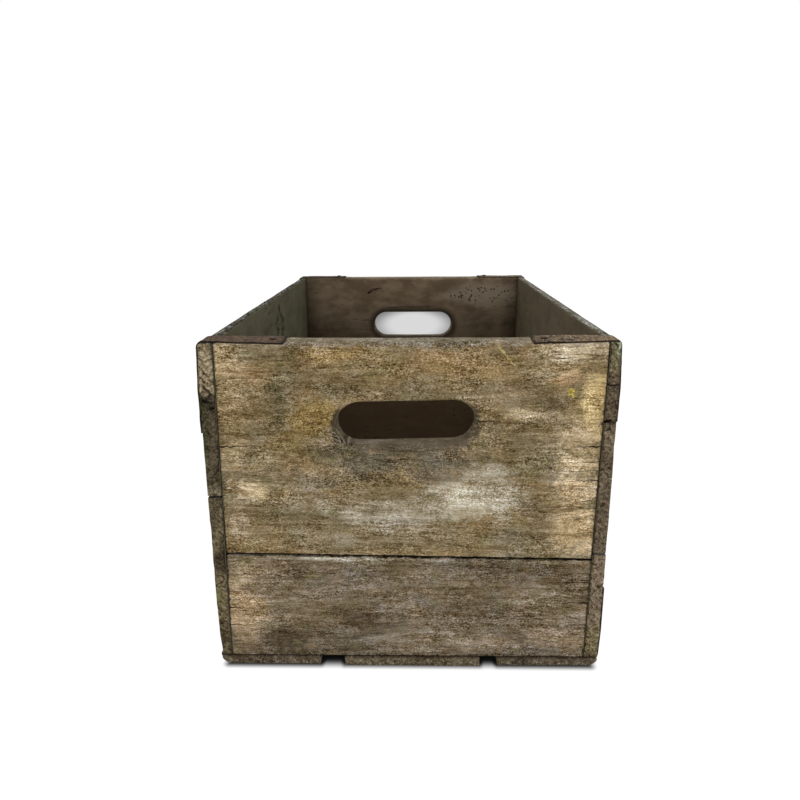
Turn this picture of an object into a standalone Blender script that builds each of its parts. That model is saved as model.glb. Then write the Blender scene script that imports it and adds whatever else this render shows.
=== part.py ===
"""Nailed wooden bottle crate, made of the boards, corner straps and nails that the real one is made of.

Metres, +Z up. The origin is on the floor under the middle of the crate. X runs across it, Y along it,
and the front end faces -Y.
"""

from math import cos, pi, radians, sin

import bmesh
import bpy
from mathutils import Matrix, Vector

# Outside of the crate
CRATE_WIDTH = 0.305
CRATE_LENGTH = 0.4826
CRATE_HEIGHT = 0.267

# Boards
END_THICKNESS = 0.022
SIDE_THICKNESS = 0.0095
BOTTOM_THICKNESS = 0.009
SEAM = 0.0007               # gap where two boards meet
ARRIS = 0.0008              # worn chamfer along the edges of a board
TOP_EDGE_RADIUS = 0.006     # outer top edge of the side boards, under the straps
BOTTOM_EDGE_RADIUS = 0.007  # outer lower edge of the bottom boards
ROUND_SEGMENTS = 4

# Heights of the joints between upper and lower boards; the joint of an end slants as seen from outside
END_JOINT_LEFT = 0.0994
END_JOINT_RIGHT = 0.0952
LEFT_SIDE_JOINT = 0.147
RIGHT_SIDE_JOINT = 0.100

# Bottom boards, with an open gap on each side of the middle one
BOTTOM_OUTER_WIDTH = 0.081
BOTTOM_MIDDLE_WIDTH = 0.1095
BOTTOM_MIDDLE_OFFSET = 0.0027

# Hand hole in each end, with rounded rims, and the rounded grip on the rim above it
HOLE_LENGTH = 0.1055
HOLE_HEIGHT = 0.034
HOLE_CENTRE_HEIGHT = 0.2055
HOLE_OFFSET = -0.002        # to the left, as seen from outside
HOLE_RIM_RADIUS = 0.0025
HOLE_ARC_STEPS = 10
GRIP_RADIUS = 0.004
GRIP_TO_STRAP = 0.002       # flat rim left between the rounded grip and a strap

# Steel straps bent over the four upper corners
STRAP_WIDTH = 0.019
STRAP_THICKNESS = 0.0009
STRAP_TOP_LEG = 0.0625
STRAP_SIDE_LEG = 0.060
STRAP_NAIL_INSET = 0.009    # from the end of a leg to its nail
STRAP_NAIL_PITCH = 0.026    # between the two nails of the side leg

# Nails
NAIL_LENGTH = 0.038
STRAP_NAIL_LENGTH = 0.024
SHANK_RADIUS = 0.0012
HEAD_RADIUS = 0.0027
HEAD_THICKNESS = 0.0008
POINT_LENGTH = 0.004
HEAD_SINK = 0.0003          # how deep a head sits below the wood
NAIL_SIDES = 8
NAIL_EDGE = 0.018           # from the edge of a board to its nearest nail
NAIL_STAGGER = 0.005        # side and bottom nails stand this far off the middle of an end board
UPPER_BOARD_NAILS = 3
LOWER_BOARD_NAILS = 2
BOTTOM_BOARD_NAILS = 2

CLEARANCE = 0.0003          # between a nail or a strap and the wood or steel around it
CUT_OVERSHOOT = 0.005       # how far a cutter runs past the surface that it cuts

END_INNER_HALF = CRATE_WIDTH / 2 - SIDE_THICKNESS - SEAM
STRAP_INNER_END = CRATE_WIDTH / 2 - STRAP_TOP_LEG
WALL_FOOT = BOTTOM_THICKNESS + SEAM


def collection(name, hidden=False):
    made = bpy.data.collections.new(name)
    made.hide_render = hidden
    bpy.context.scene.collection.children.link(made)
    return made


def finish(name, colour, roughness, metallic):
    material = bpy.data.materials.new(name)
    material.use_nodes = True
    shader = material.node_tree.nodes["Principled BSDF"]
    shader.inputs["Base Color"].default_value = (*colour, 1.0)
    shader.inputs["Roughness"].default_value = roughness
    shader.inputs["Metallic"].default_value = metallic
    material.diffuse_color = (*colour, 1.0)
    return material


def add_part(name, mesh, material, location=(0, 0, 0), parent=None):
    if not mesh.materials:
        mesh.materials.append(material)
    part = bpy.data.objects.new(name, mesh)
    part.location = location
    part.parent = parent
    PARTS.objects.link(part)
    return part


def add_cutter(name, mesh, parent=None):
    cutter = bpy.data.objects.new(name, mesh)
    cutter.hide_render = True
    cutter.display_type = "WIRE"
    cutter.parent = parent
    CUTTERS.objects.link(cutter)
    return cutter


def mesh_from(bm, name):
    mesh = bpy.data.meshes.new(name)
    bm.to_mesh(mesh)
    bm.free()
    return mesh


def evaluated_mesh(part):
    """The part's mesh with its modifiers applied, in its own coordinates."""
    bpy.context.view_layer.update()
    graph = bpy.context.evaluated_depsgraph_get()
    return bpy.data.meshes.new_from_object(part.evaluated_get(graph))


def cut(part, cutter):
    modifier = part.modifiers.new("cut_" + cutter.name, "BOOLEAN")
    modifier.operation = "DIFFERENCE"
    modifier.solver = "EXACT"
    modifier.object = cutter


def spread(low, high, count):
    """Evenly spaced places from low to high, both included."""
    return [low + (high - low) * i / (count - 1) for i in range(count)]


# Boards

def sawn_box(low, high):
    """A box between two corners, as a bmesh about its own centre, and that centre."""
    low = Vector(low)
    high = Vector(high)
    bm = bmesh.new()
    bmesh.ops.create_cube(bm, size=1.0)
    bmesh.ops.scale(bm, vec=high - low, verts=bm.verts)
    return bm, (low + high) / 2


def round_edges(bm, edges, radius, segments):
    bmesh.ops.bevel(
        bm, geom=edges, offset=radius, segments=segments, profile=0.5, affect="EDGES", clamp_overlap=True
    )


def edge_along_y(bm, x_side, z_side):
    return [e for e in bm.edges if all(v.co.x * x_side > 0 and v.co.z * z_side > 0 for v in e.verts)]


def sharp_edges(bm):
    return [e for e in bm.edges if e.calc_face_angle() > radians(60)]


def long_board(name, low, high, material, rounded=None):
    """A board along the crate. `rounded` is the side in x and in z of its rounded edge, and the radius."""
    bm, centre = sawn_box(low, high)
    if rounded:
        x_side, z_side, radius = rounded
        round_edges(bm, edge_along_y(bm, x_side, z_side), radius, ROUND_SEGMENTS)
    round_edges(bm, sharp_edges(bm), ARRIS, 1)
    return add_part(name, mesh_from(bm, name), material, centre)


def slant(bm, z_side):
    """Tilts the lower or upper edge of an end board to the line of its joint."""
    slope = (END_JOINT_RIGHT - END_JOINT_LEFT) / CRATE_WIDTH
    for vertex in bm.verts:
        if vertex.co.z * z_side > 0:
            vertex.co.z += slope * vertex.co.x


def hand_hole_outline():
    """Points round the hand hole, a slot with half-round ends, about its own centre."""
    radius = HOLE_HEIGHT / 2
    reach = HOLE_LENGTH / 2 - radius
    points = []
    for side in (1, -1):
        for i in range(HOLE_ARC_STEPS + 1):
            angle = pi * i / HOLE_ARC_STEPS - pi / 2
            points.append((side * (reach + radius * cos(angle)), side * radius * sin(angle)))
    return points


def hand_hole_cutter(name, parent):
    """The slot as a solid that runs through the end board, built from a flat filled curve."""
    curve = bpy.data.curves.new(name, "CURVE")
    curve.dimensions = "2D"
    curve.fill_mode = "BOTH"
    curve.extrude = END_THICKNESS / 2 + CUT_OVERSHOOT
    outline = hand_hole_outline()
    spline = curve.splines.new("POLY")
    spline.points.add(len(outline) - 1)
    for point, (x, z) in zip(spline.points, outline):
        point.co = (x, z, 0, 1)
    spline.use_cyclic_u = True
    drawn = bpy.data.objects.new(name + "_outline", curve)
    CUTTERS.objects.link(drawn)
    mesh = evaluated_mesh(drawn)
    bpy.data.objects.remove(drawn)
    bm = bmesh.new()
    bm.from_mesh(mesh)
    bmesh.ops.remove_doubles(bm, verts=bm.verts, dist=CLEARANCE / 10)
    bmesh.ops.rotate(bm, matrix=Matrix.Rotation(pi / 2, 3, "X"), verts=bm.verts)
    bmesh.ops.recalc_face_normals(bm, faces=bm.faces)
    cutter = add_cutter(name, mesh_from(bm, name), parent)
    cutter.location = (HOLE_OFFSET, END_THICKNESS / 2, HOLE_CENTRE_HEIGHT)
    return cutter


def ease_hole_rims(part):
    """Rounds the rims of the hand hole on both faces of the board."""
    mesh = evaluated_mesh(part)
    part.modifiers.clear()
    part.data = mesh
    centre = Vector((HOLE_OFFSET, 0, HOLE_CENTRE_HEIGHT)) - part.location
    bm = bmesh.new()
    bm.from_mesh(mesh)
    rims = []
    for edge in bm.edges:
        on_face = all(abs(abs(v.co.y) - END_THICKNESS / 2) < CLEARANCE for v in edge.verts)
        at_hole = all(
            abs(v.co.x - centre.x) < HOLE_LENGTH / 2 + CLEARANCE
            and abs(v.co.z - centre.z) < HOLE_HEIGHT / 2 + CLEARANCE
            for v in edge.verts
        )
        if on_face and at_hole and edge.calc_face_angle() > radians(60):
            rims.append(edge)
    round_edges(bm, rims, HOLE_RIM_RADIUS, ROUND_SEGMENTS)
    bm.to_mesh(mesh)
    bm.free()


def upper_end_board(name, place):
    """The wide upper board of an end: slanted foot, rounded grip between the straps, and the hand hole."""
    joint = (END_JOINT_LEFT + END_JOINT_RIGHT) / 2 + SEAM / 2
    bm, centre = sawn_box((-END_INNER_HALF, 0, joint), (END_INNER_HALF, END_THICKNESS, CRATE_HEIGHT))
    slant(bm, -1)
    grip_half = STRAP_INNER_END - GRIP_TO_STRAP
    for x in (-grip_half, grip_half):
        everything = bm.verts[:] + bm.edges[:] + bm.faces[:]
        bmesh.ops.bisect_plane(bm, geom=everything, plane_co=(x, 0, 0), plane_no=(1, 0, 0))
    grip = [
        e for e in bm.edges
        if e.calc_face_angle() > radians(60)
        and all(v.co.z > 0 and abs(v.co.x) < END_INNER_HALF - CLEARANCE for v in e.verts)
    ]
    round_edges(bm, grip, GRIP_RADIUS, ROUND_SEGMENTS)
    low_edges = [e for e in sharp_edges(bm) if any(v.co.z < 0 for v in e.verts)]
    round_edges(bm, low_edges, ARRIS, 1)
    part = add_part(name, mesh_from(bm, name), END_WOOD, centre, place)
    cut(part, hand_hole_cutter(name + "_hand_hole", place))
    ease_hole_rims(part)
    return part


def lower_end_board(name, place):
    joint = (END_JOINT_LEFT + END_JOINT_RIGHT) / 2 - SEAM / 2
    bm, centre = sawn_box((-END_INNER_HALF, 0, WALL_FOOT), (END_INNER_HALF, END_THICKNESS, joint))
    slant(bm, 1)
    round_edges(bm, sharp_edges(bm), ARRIS, 1)
    return add_part(name, mesh_from(bm, name), END_WOOD, centre, place)


def end_place(name, y_side):
    """An empty on the outer face of an end, whose Y axis points into the crate."""
    place = bpy.data.objects.new(name, None)
    place.location = (0, y_side * CRATE_LENGTH / 2, 0)
    place.rotation_euler = (0, 0, pi if y_side > 0 else 0)
    PARTS.objects.link(place)
    return place


def side_boards(side, x_side, joint):
    """The two boards of a side, which cover the edges of the end boards."""
    xs = sorted((x_side * CRATE_WIDTH / 2, x_side * (CRATE_WIDTH / 2 - SIDE_THICKNESS)))
    y = CRATE_LENGTH / 2
    upper = long_board(
        f"{side}_side_upper_board", (xs[0], -y, joint + SEAM / 2), (xs[1], y, CRATE_HEIGHT), SIDE_WOOD,
        (x_side, 1, TOP_EDGE_RADIUS),
    )
    lower = long_board(
        f"{side}_side_lower_board", (xs[0], -y, WALL_FOOT), (xs[1], y, joint - SEAM / 2), SIDE_WOOD
    )
    return [upper, lower]


def bottom_board_spans():
    """The left and right edge of each bottom board, and the side of its rounded edge."""
    outer = CRATE_WIDTH / 2
    inner = outer - BOTTOM_OUTER_WIDTH
    half = BOTTOM_MIDDLE_WIDTH / 2
    return {
        "left": (-outer, -inner, -1),
        "middle": (BOTTOM_MIDDLE_OFFSET - half, BOTTOM_MIDDLE_OFFSET + half, 0),
        "right": (inner, outer, 1),
    }


def bottom_boards():
    made = []
    y = CRATE_LENGTH / 2
    for name, (left, right, x_side) in bottom_board_spans().items():
        rounded = (x_side, -1, BOTTOM_EDGE_RADIUS) if x_side else None
        made.append(
            long_board(
                f"bottom_{name}_board", (left, -y, 0), (right, y, BOTTOM_THICKNESS), BOTTOM_WOOD, rounded
            )
        )
    return made


# Corner straps

def strap_path(x_side):
    """Points in x and z along the inner face of a strap, from its end on the rim down to its end on the side."""
    top = CRATE_HEIGHT + CLEARANCE
    outer = CRATE_WIDTH / 2 + CLEARANCE
    radius = TOP_EDGE_RADIUS + CLEARANCE
    points = [(STRAP_INNER_END, top)]
    for i in range(ROUND_SEGMENTS + 1):
        angle = pi / 2 * (1 - i / ROUND_SEGMENTS)
        points.append((outer - radius + radius * cos(angle), top - radius + radius * sin(angle)))
    points.append((outer, CRATE_HEIGHT - STRAP_SIDE_LEG))
    return [(x_side * x, z) for x, z in points]


def strap(name, x_side, y_side):
    """A flat steel strap bent over a corner: a ribbon along its path, given its thickness outwards."""
    middle = y_side * (CRATE_LENGTH / 2 - END_THICKNESS / 2)
    bm = bmesh.new()
    row = [bm.verts.new((x, middle - STRAP_WIDTH / 2, z)) for x, z in strap_path(x_side)]
    edges = [bm.edges.new(pair) for pair in zip(row, row[1:])]
    drawn = bmesh.ops.extrude_edge_only(bm, edges=edges)["geom"]
    far = [v for v in drawn if isinstance(v, bmesh.types.BMVert)]
    bmesh.ops.translate(bm, vec=(0, STRAP_WIDTH, 0), verts=far)
    bmesh.ops.recalc_face_normals(bm, faces=bm.faces)
    bm.normal_update()
    if bm.faces[:][0].normal.z < 0:
        bmesh.ops.reverse_faces(bm, faces=bm.faces)
    part = add_part(name, mesh_from(bm, name), STRAP_STEEL)
    shell = part.modifiers.new("thickness", "SOLIDIFY")
    shell.thickness = STRAP_THICKNESS
    shell.offset = 1.0
    shell.use_even_offset = True
    part.data = evaluated_mesh(part)
    part.modifiers.clear()
    return part


# Nails

def turned_mesh(name, profile):
    """A closed turned shape from a profile of radius and height, which runs from the top of its axis down."""
    bm = bmesh.new()
    row = [bm.verts.new((radius, 0, z)) for radius, z in profile]
    for pair in zip(row, row[1:]):
        bm.edges.new(pair)
    drawn = bpy.data.objects.new(name + "_profile", mesh_from(bm, name + "_profile"))
    CUTTERS.objects.link(drawn)
    screw = drawn.modifiers.new("turn", "SCREW")
    screw.axis = "Z"
    screw.angle = 2 * pi
    screw.steps = NAIL_SIDES
    screw.render_steps = NAIL_SIDES
    screw.use_merge_vertices = True
    screw.merge_threshold = CLEARANCE / 10
    mesh = evaluated_mesh(drawn)
    mesh.name = name
    bpy.data.objects.remove(drawn)
    return mesh


def nail_mesh(name, length):
    profile = [
        (0, 0), (HEAD_RADIUS, 0), (HEAD_RADIUS, -HEAD_THICKNESS), (SHANK_RADIUS, -HEAD_THICKNESS),
        (SHANK_RADIUS, POINT_LENGTH - length), (0, -length),
    ]
    mesh = turned_mesh(name, profile)
    mesh.shade_smooth()
    mesh.set_sharp_from_angle(angle=radians(50))
    return mesh


def bore_mesh(name, length, seated):
    """What a nail needs cut out for it: its bore and, for a sunk head, the seat of that head."""
    bore = SHANK_RADIUS + CLEARANCE
    tip = [(bore, POINT_LENGTH - length - CLEARANCE), (0, -length - 2 * CLEARANCE)]
    if not seated:
        return turned_mesh(name, [(0, 0), (bore, 0)] + tip)
    seat = HEAD_RADIUS + CLEARANCE
    floor = -HEAD_THICKNESS - CLEARANCE
    return turned_mesh(name, [(0, CUT_OVERSHOOT), (seat, CUT_OVERSHOOT), (seat, floor), (bore, floor)] + tip)


def drive_nail(name, mesh, head, direction):
    """A nail whose head is centred on `head` and which points along `direction`."""
    nail = add_part(name, mesh, NAIL_STEEL, head)
    nail.rotation_mode = "QUATERNION"
    nail.rotation_quaternion = Vector((0, 0, -1)).rotation_difference(Vector(direction))
    return nail


def side_nails(mesh):
    """Nails through the side boards into the edges of the end boards."""
    nails = []
    joints = {"left": (-1, LEFT_SIDE_JOINT), "right": (1, RIGHT_SIDE_JOINT)}
    for side, (x_side, joint) in joints.items():
        heights = spread(WALL_FOOT + NAIL_EDGE, joint - NAIL_EDGE, LOWER_BOARD_NAILS)
        heights += spread(joint + NAIL_EDGE, CRATE_HEIGHT - NAIL_EDGE, UPPER_BOARD_NAILS)
        for end, y_side in ENDS.items():
            y = y_side * (CRATE_LENGTH / 2 - END_THICKNESS / 2 - NAIL_STAGGER)
            for number, z in enumerate(heights, 1):
                head = (x_side * (CRATE_WIDTH / 2 - HEAD_SINK), y, z)
                nails.append(drive_nail(f"side_nail_{side}_{end}_{number}", mesh, head, (-x_side, 0, 0)))
    return nails


def bottom_nails(mesh):
    """Nails through the bottom boards into the lower edges of the end boards."""
    nails = []
    for board, (left, right, _) in bottom_board_spans().items():
        low = max(left, -END_INNER_HALF) + NAIL_EDGE
        high = min(right, END_INNER_HALF) - NAIL_EDGE
        for end, y_side in ENDS.items():
            y = y_side * (CRATE_LENGTH / 2 - END_THICKNESS / 2 + NAIL_STAGGER)
            for number, x in enumerate(spread(low, high, BOTTOM_BOARD_NAILS), 1):
                name = f"bottom_nail_{board}_{end}_{number}"
                nails.append(drive_nail(name, mesh, (x, y, HEAD_SINK), (0, 0, 1)))
    return nails


def strap_nails(mesh):
    """Nails through both legs of each strap, with their heads on the steel."""
    nails = []
    stand = STRAP_THICKNESS + 2 * CLEARANCE + HEAD_THICKNESS
    low = CRATE_HEIGHT - STRAP_SIDE_LEG + STRAP_NAIL_INSET
    for side, x_side in (("left", -1), ("right", 1)):
        for end, y_side in ENDS.items():
            y = y_side * (CRATE_LENGTH / 2 - END_THICKNESS / 2)
            corner = f"strap_nail_{side}_{end}"
            top = (x_side * (STRAP_INNER_END + STRAP_NAIL_INSET), y, CRATE_HEIGHT + stand)
            nails.append(drive_nail(corner + "_top", mesh, top, (0, 0, -1)))
            for number, z in enumerate((low, low + STRAP_NAIL_PITCH), 1):
                head = (x_side * (CRATE_WIDTH / 2 + stand), y, z)
                nails.append(drive_nail(f"{corner}_side_{number}", mesh, head, (-x_side, 0, 0)))
    return nails


def world_box(part, mesh):
    corners = [part.matrix_world @ v.co for v in mesh.vertices]
    low = [min(c[axis] for c in corners) for axis in range(3)]
    high = [max(c[axis] for c in corners) for axis in range(3)]
    return low, high


def boxes_meet(first, second):
    return all(first[0][axis] < second[1][axis] and second[0][axis] < first[1][axis] for axis in range(3))


def bore_for_nails(part, bores):
    """Cuts the part wherever a nail passes through it, with all its bores in one cutter."""
    own_box = world_box(part, part.data)
    bm = bmesh.new()
    for nail, bore in bores.items():
        if boxes_meet(own_box, world_box(nail, bore)):
            before = len(bm.verts)
            bm.from_mesh(bore)
            bm.verts.ensure_lookup_table()
            bmesh.ops.transform(bm, matrix=nail.matrix_world, verts=bm.verts[before:])
    name = part.name + "_bores"
    cut(part, add_cutter(name, mesh_from(bm, name)))


for leftover in list(bpy.data.objects):
    bpy.data.objects.remove(leftover)

PARTS = collection("wooden_crate")
CUTTERS = collection("crate_cutters", hidden=True)
END_WOOD = finish("weathered_end_wood", (0.24, 0.18, 0.10), 0.85, 0.0)
SIDE_WOOD = finish("weathered_side_wood", (0.13, 0.105, 0.075), 0.88, 0.0)
BOTTOM_WOOD = finish("weathered_bottom_wood", (0.11, 0.088, 0.06), 0.9, 0.0)
STRAP_STEEL = finish("rusted_strap_steel", (0.095, 0.07, 0.05), 0.7, 0.6)
NAIL_STEEL = finish("rusted_nail_steel", (0.06, 0.042, 0.032), 0.65, 0.6)
ENDS = {"front": -1, "rear": 1}

boards = bottom_boards()
boards += side_boards("left", -1, LEFT_SIDE_JOINT)
boards += side_boards("right", 1, RIGHT_SIDE_JOINT)
straps = []
for end, y_side in ENDS.items():
    place = end_place(end + "_end", y_side)
    boards.append(lower_end_board(end + "_end_lower_board", place))
    boards.append(upper_end_board(end + "_end_upper_board", place))
    straps.append(strap(f"left_{end}_corner_strap", -1, y_side))
    straps.append(strap(f"right_{end}_corner_strap", 1, y_side))

long_nail = nail_mesh("long_nail", NAIL_LENGTH)
strap_nail = nail_mesh("strap_nail", STRAP_NAIL_LENGTH)
long_bore = bore_mesh("long_nail_bore", NAIL_LENGTH, seated=True)
strap_bore = bore_mesh("strap_nail_bore", STRAP_NAIL_LENGTH, seated=False)
board_bores = {nail: long_bore for nail in side_nails(long_nail) + bottom_nails(long_nail)}
strap_bores = {nail: strap_bore for nail in strap_nails(strap_nail)}

bpy.context.view_layer.update()
for board in boards:
    bore_for_nails(board, board_bores | strap_bores)
for steel in straps:
    bore_for_nails(steel, strap_bores)
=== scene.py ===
from math import cos, radians, sin
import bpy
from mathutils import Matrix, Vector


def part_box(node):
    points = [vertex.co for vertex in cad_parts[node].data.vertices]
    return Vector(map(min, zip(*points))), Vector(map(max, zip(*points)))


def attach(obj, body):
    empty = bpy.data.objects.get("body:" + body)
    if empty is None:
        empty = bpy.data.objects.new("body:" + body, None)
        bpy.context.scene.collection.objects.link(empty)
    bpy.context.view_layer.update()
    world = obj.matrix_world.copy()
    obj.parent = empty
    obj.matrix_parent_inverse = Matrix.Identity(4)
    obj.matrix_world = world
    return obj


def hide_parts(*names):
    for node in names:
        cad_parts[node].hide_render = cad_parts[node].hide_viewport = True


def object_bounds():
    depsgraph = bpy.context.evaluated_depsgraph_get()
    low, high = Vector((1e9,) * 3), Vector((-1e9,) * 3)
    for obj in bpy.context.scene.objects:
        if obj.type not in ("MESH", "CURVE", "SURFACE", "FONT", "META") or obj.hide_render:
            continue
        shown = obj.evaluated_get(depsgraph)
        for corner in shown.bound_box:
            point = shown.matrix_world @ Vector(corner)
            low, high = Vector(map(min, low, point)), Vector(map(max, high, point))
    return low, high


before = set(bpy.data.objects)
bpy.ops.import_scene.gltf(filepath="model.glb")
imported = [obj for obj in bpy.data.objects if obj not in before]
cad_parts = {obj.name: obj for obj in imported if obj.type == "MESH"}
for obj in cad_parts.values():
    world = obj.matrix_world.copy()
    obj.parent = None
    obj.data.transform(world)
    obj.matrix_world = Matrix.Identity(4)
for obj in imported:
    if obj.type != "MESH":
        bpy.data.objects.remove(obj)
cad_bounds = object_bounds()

from types import SimpleNamespace

import bmesh
import bpy
import numpy as np
from mathutils import Matrix, Vector


# Bottom boards: three rough-sawn softwood planks laid lengthwise, with an open gap on each side of the
# middle one. They are nailed up into the ends, and their own ends show at the front, dark and dry.
BOTTOM_BOARDS = {
    "bottom_left_board": {
        "seed": 3.0, "pith": (-0.11, 0.06), "outer": -1, "end": (80, 69, 52), "splits": [(-0.1046, 0.05)],
    },
    "bottom_middle_board": {
        "seed": 8.0, "pith": (0.02, -0.05), "outer": 0, "end": (97, 86, 65),
        "splits": [(-0.0284, 0.06), (-0.0072, 0.04)],
    },
    "bottom_right_board": {
        "seed": 13.0, "pith": (0.10, 0.07), "outer": 1, "end": (82, 72, 56), "splits": [(0.112, 0.05)],
    },
}
CORNER_RADII = {-1: 0.0104, 1: 0.0112}
BOTTOM_TONES = {"grey": (98, 88, 72), "tan": (122, 103, 76), "dark": (66, 56, 43), "worn": (86, 74, 58)}
LEDGE_SHADE_TONE = (72, 60, 46)
BOTTOM_PROUD = 0.0018
BOTTOM_THINNER = 0.0016
FLOOR_NOTCH = 0.0013
STRAP_REACH = 0.0225
SIDE_FACE = 0.1525
SIDE_THICKNESS = 0.0095
BULGES = {-1: 0.0014, 1: 0.0008}
REAR_RISE = 0.0020
STRAP_SAG = 0.0017
CRACK_STEPS = 14
CRACK_PROUD = 0.002
END_FACE = cad_bounds[1][1]


class Wire:
    """A socket in a node tree. Sums on it add Math nodes, and add() puts in a node of any type."""

    def __init__(self, tree, socket=None):
        self.tree = tree
        self.socket = socket

    def add(self, kind, settings=None, inputs=None, output=0):
        node = self.tree.nodes.new(kind)
        for name, value in (settings or {}).items():
            setattr(node, name, value)
        sockets = {socket.identifier: socket for socket in node.inputs}
        for name, value in (inputs or {}).items():
            if isinstance(value, Wire):
                self.tree.links.new(value.socket, sockets[name])
            else:
                sockets[name].default_value = value
        if isinstance(output, str):
            return Wire(self.tree, {socket.identifier: socket for socket in node.outputs}[output])
        return Wire(self.tree, node.outputs[output] if len(node.outputs) else None)

    def math(self, operation, first, second=0.0):
        return self.add("ShaderNodeMath", {"operation": operation}, {"Value": first, "Value_001": second})

    def __add__(self, other):
        return self.math("ADD", self, other)

    def __radd__(self, other):
        return self.math("ADD", other, self)

    def __sub__(self, other):
        return self.math("SUBTRACT", self, other)

    def __rsub__(self, other):
        return self.math("SUBTRACT", other, self)

    def __mul__(self, other):
        return self.math("MULTIPLY", self, other)

    def __rmul__(self, other):
        return self.math("MULTIPLY", other, self)

    def __truediv__(self, other):
        return self.math("DIVIDE", self, other)

    def __abs__(self):
        return self.math("ABSOLUTE", self)

    def most(self, other):
        return self.math("MAXIMUM", self, other)

    def least(self, other):
        return self.math("MINIMUM", self, other)


def length(*parts):
    """The length of an arrow that runs so far along each axis."""
    total = parts[0] * parts[0]
    for part in parts[1:]:
        total = total + part * part
    return total.math("SQRT", total)


def linear(colour, parts=3):
    """A colour written in screen values, 0 to 255, as the linear one that a socket with so many parts takes.
    A wire stays as it is."""
    if isinstance(colour, Wire):
        return colour
    values = [value / 255 for value in colour]
    values = [v / 12.92 if v < 0.04045 else ((v + 0.055) / 1.055) ** 2.4 for v in values]
    return (*values, 1.0)[:parts]


def vector(wire, operation, first, second=(0.0, 0.0, 0.0), output="Vector"):
    inputs = {"Vector": first, "Vector_001": second}
    return wire.add("ShaderNodeVectorMath", {"operation": operation}, inputs, output)


def split(wire):
    node = wire.add("ShaderNodeSeparateXYZ", None, {"Vector": wire}, "X").socket.node
    return [Wire(wire.tree, socket) for socket in node.outputs]


def join(wire, x, y, z):
    return wire.add("ShaderNodeCombineXYZ", None, {"X": x, "Y": y, "Z": z})


def noise(place, stretch, detail=2.0, roughness=0.5):
    """Noise with its cells about 1/stretch metres long on each axis. The last number given stands for the
    axes left out."""
    stretch = stretch if isinstance(stretch, tuple) else (stretch,)
    stretch = (stretch + stretch[-1:] * 2)[:3]
    scaled = vector(place, "MULTIPLY", place, stretch)
    inputs = {"Vector": scaled, "Scale": 1.0, "Detail": detail, "Roughness": roughness}
    return place.add("ShaderNodeTexNoise", None, inputs, "Fac")


def ease(value, low, high):
    """0 below low and 1 above high, smooth between. With low above high it falls instead."""
    inputs = {"Value": value, "From Min": low, "From Max": high}
    return value.add("ShaderNodeMapRange", {"interpolation_type": "SMOOTHSTEP"}, inputs, "Result")


def blend(factor, first, second):
    inputs = {"Factor_Float": factor, "A_Color": linear(first, 4), "B_Color": linear(second, 4)}
    return factor.add("ShaderNodeMix", {"data_type": "RGBA"}, inputs, "Result_Color")


def shade(colour, amount):
    """A colour times a number that varies."""
    inputs = {"Vector": linear(colour), "Scale": amount}
    return amount.add("ShaderNodeVectorMath", {"operation": "SCALE"}, inputs, "Vector")


def bleach(colour, light, powers=(1.74, 2.0, 2.65)):
    """A colour of wood lit or dimmed: lit it goes greyer, and dimmed it goes browner."""
    powers = [light.math("POWER", light, power) for power in powers]
    return vector(light, "MULTIPLY", linear(colour), join(light, *powers))


def open_material(name):
    material = bpy.data.materials.new(name)
    material.use_nodes = True
    material.node_tree.nodes.clear()
    return material, Wire(material.node_tree)


def close_material(base, surface):
    shader = base.add("ShaderNodeBsdfPrincipled", None, surface)
    base.add("ShaderNodeOutputMaterial", None, {"Surface": shader})


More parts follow.
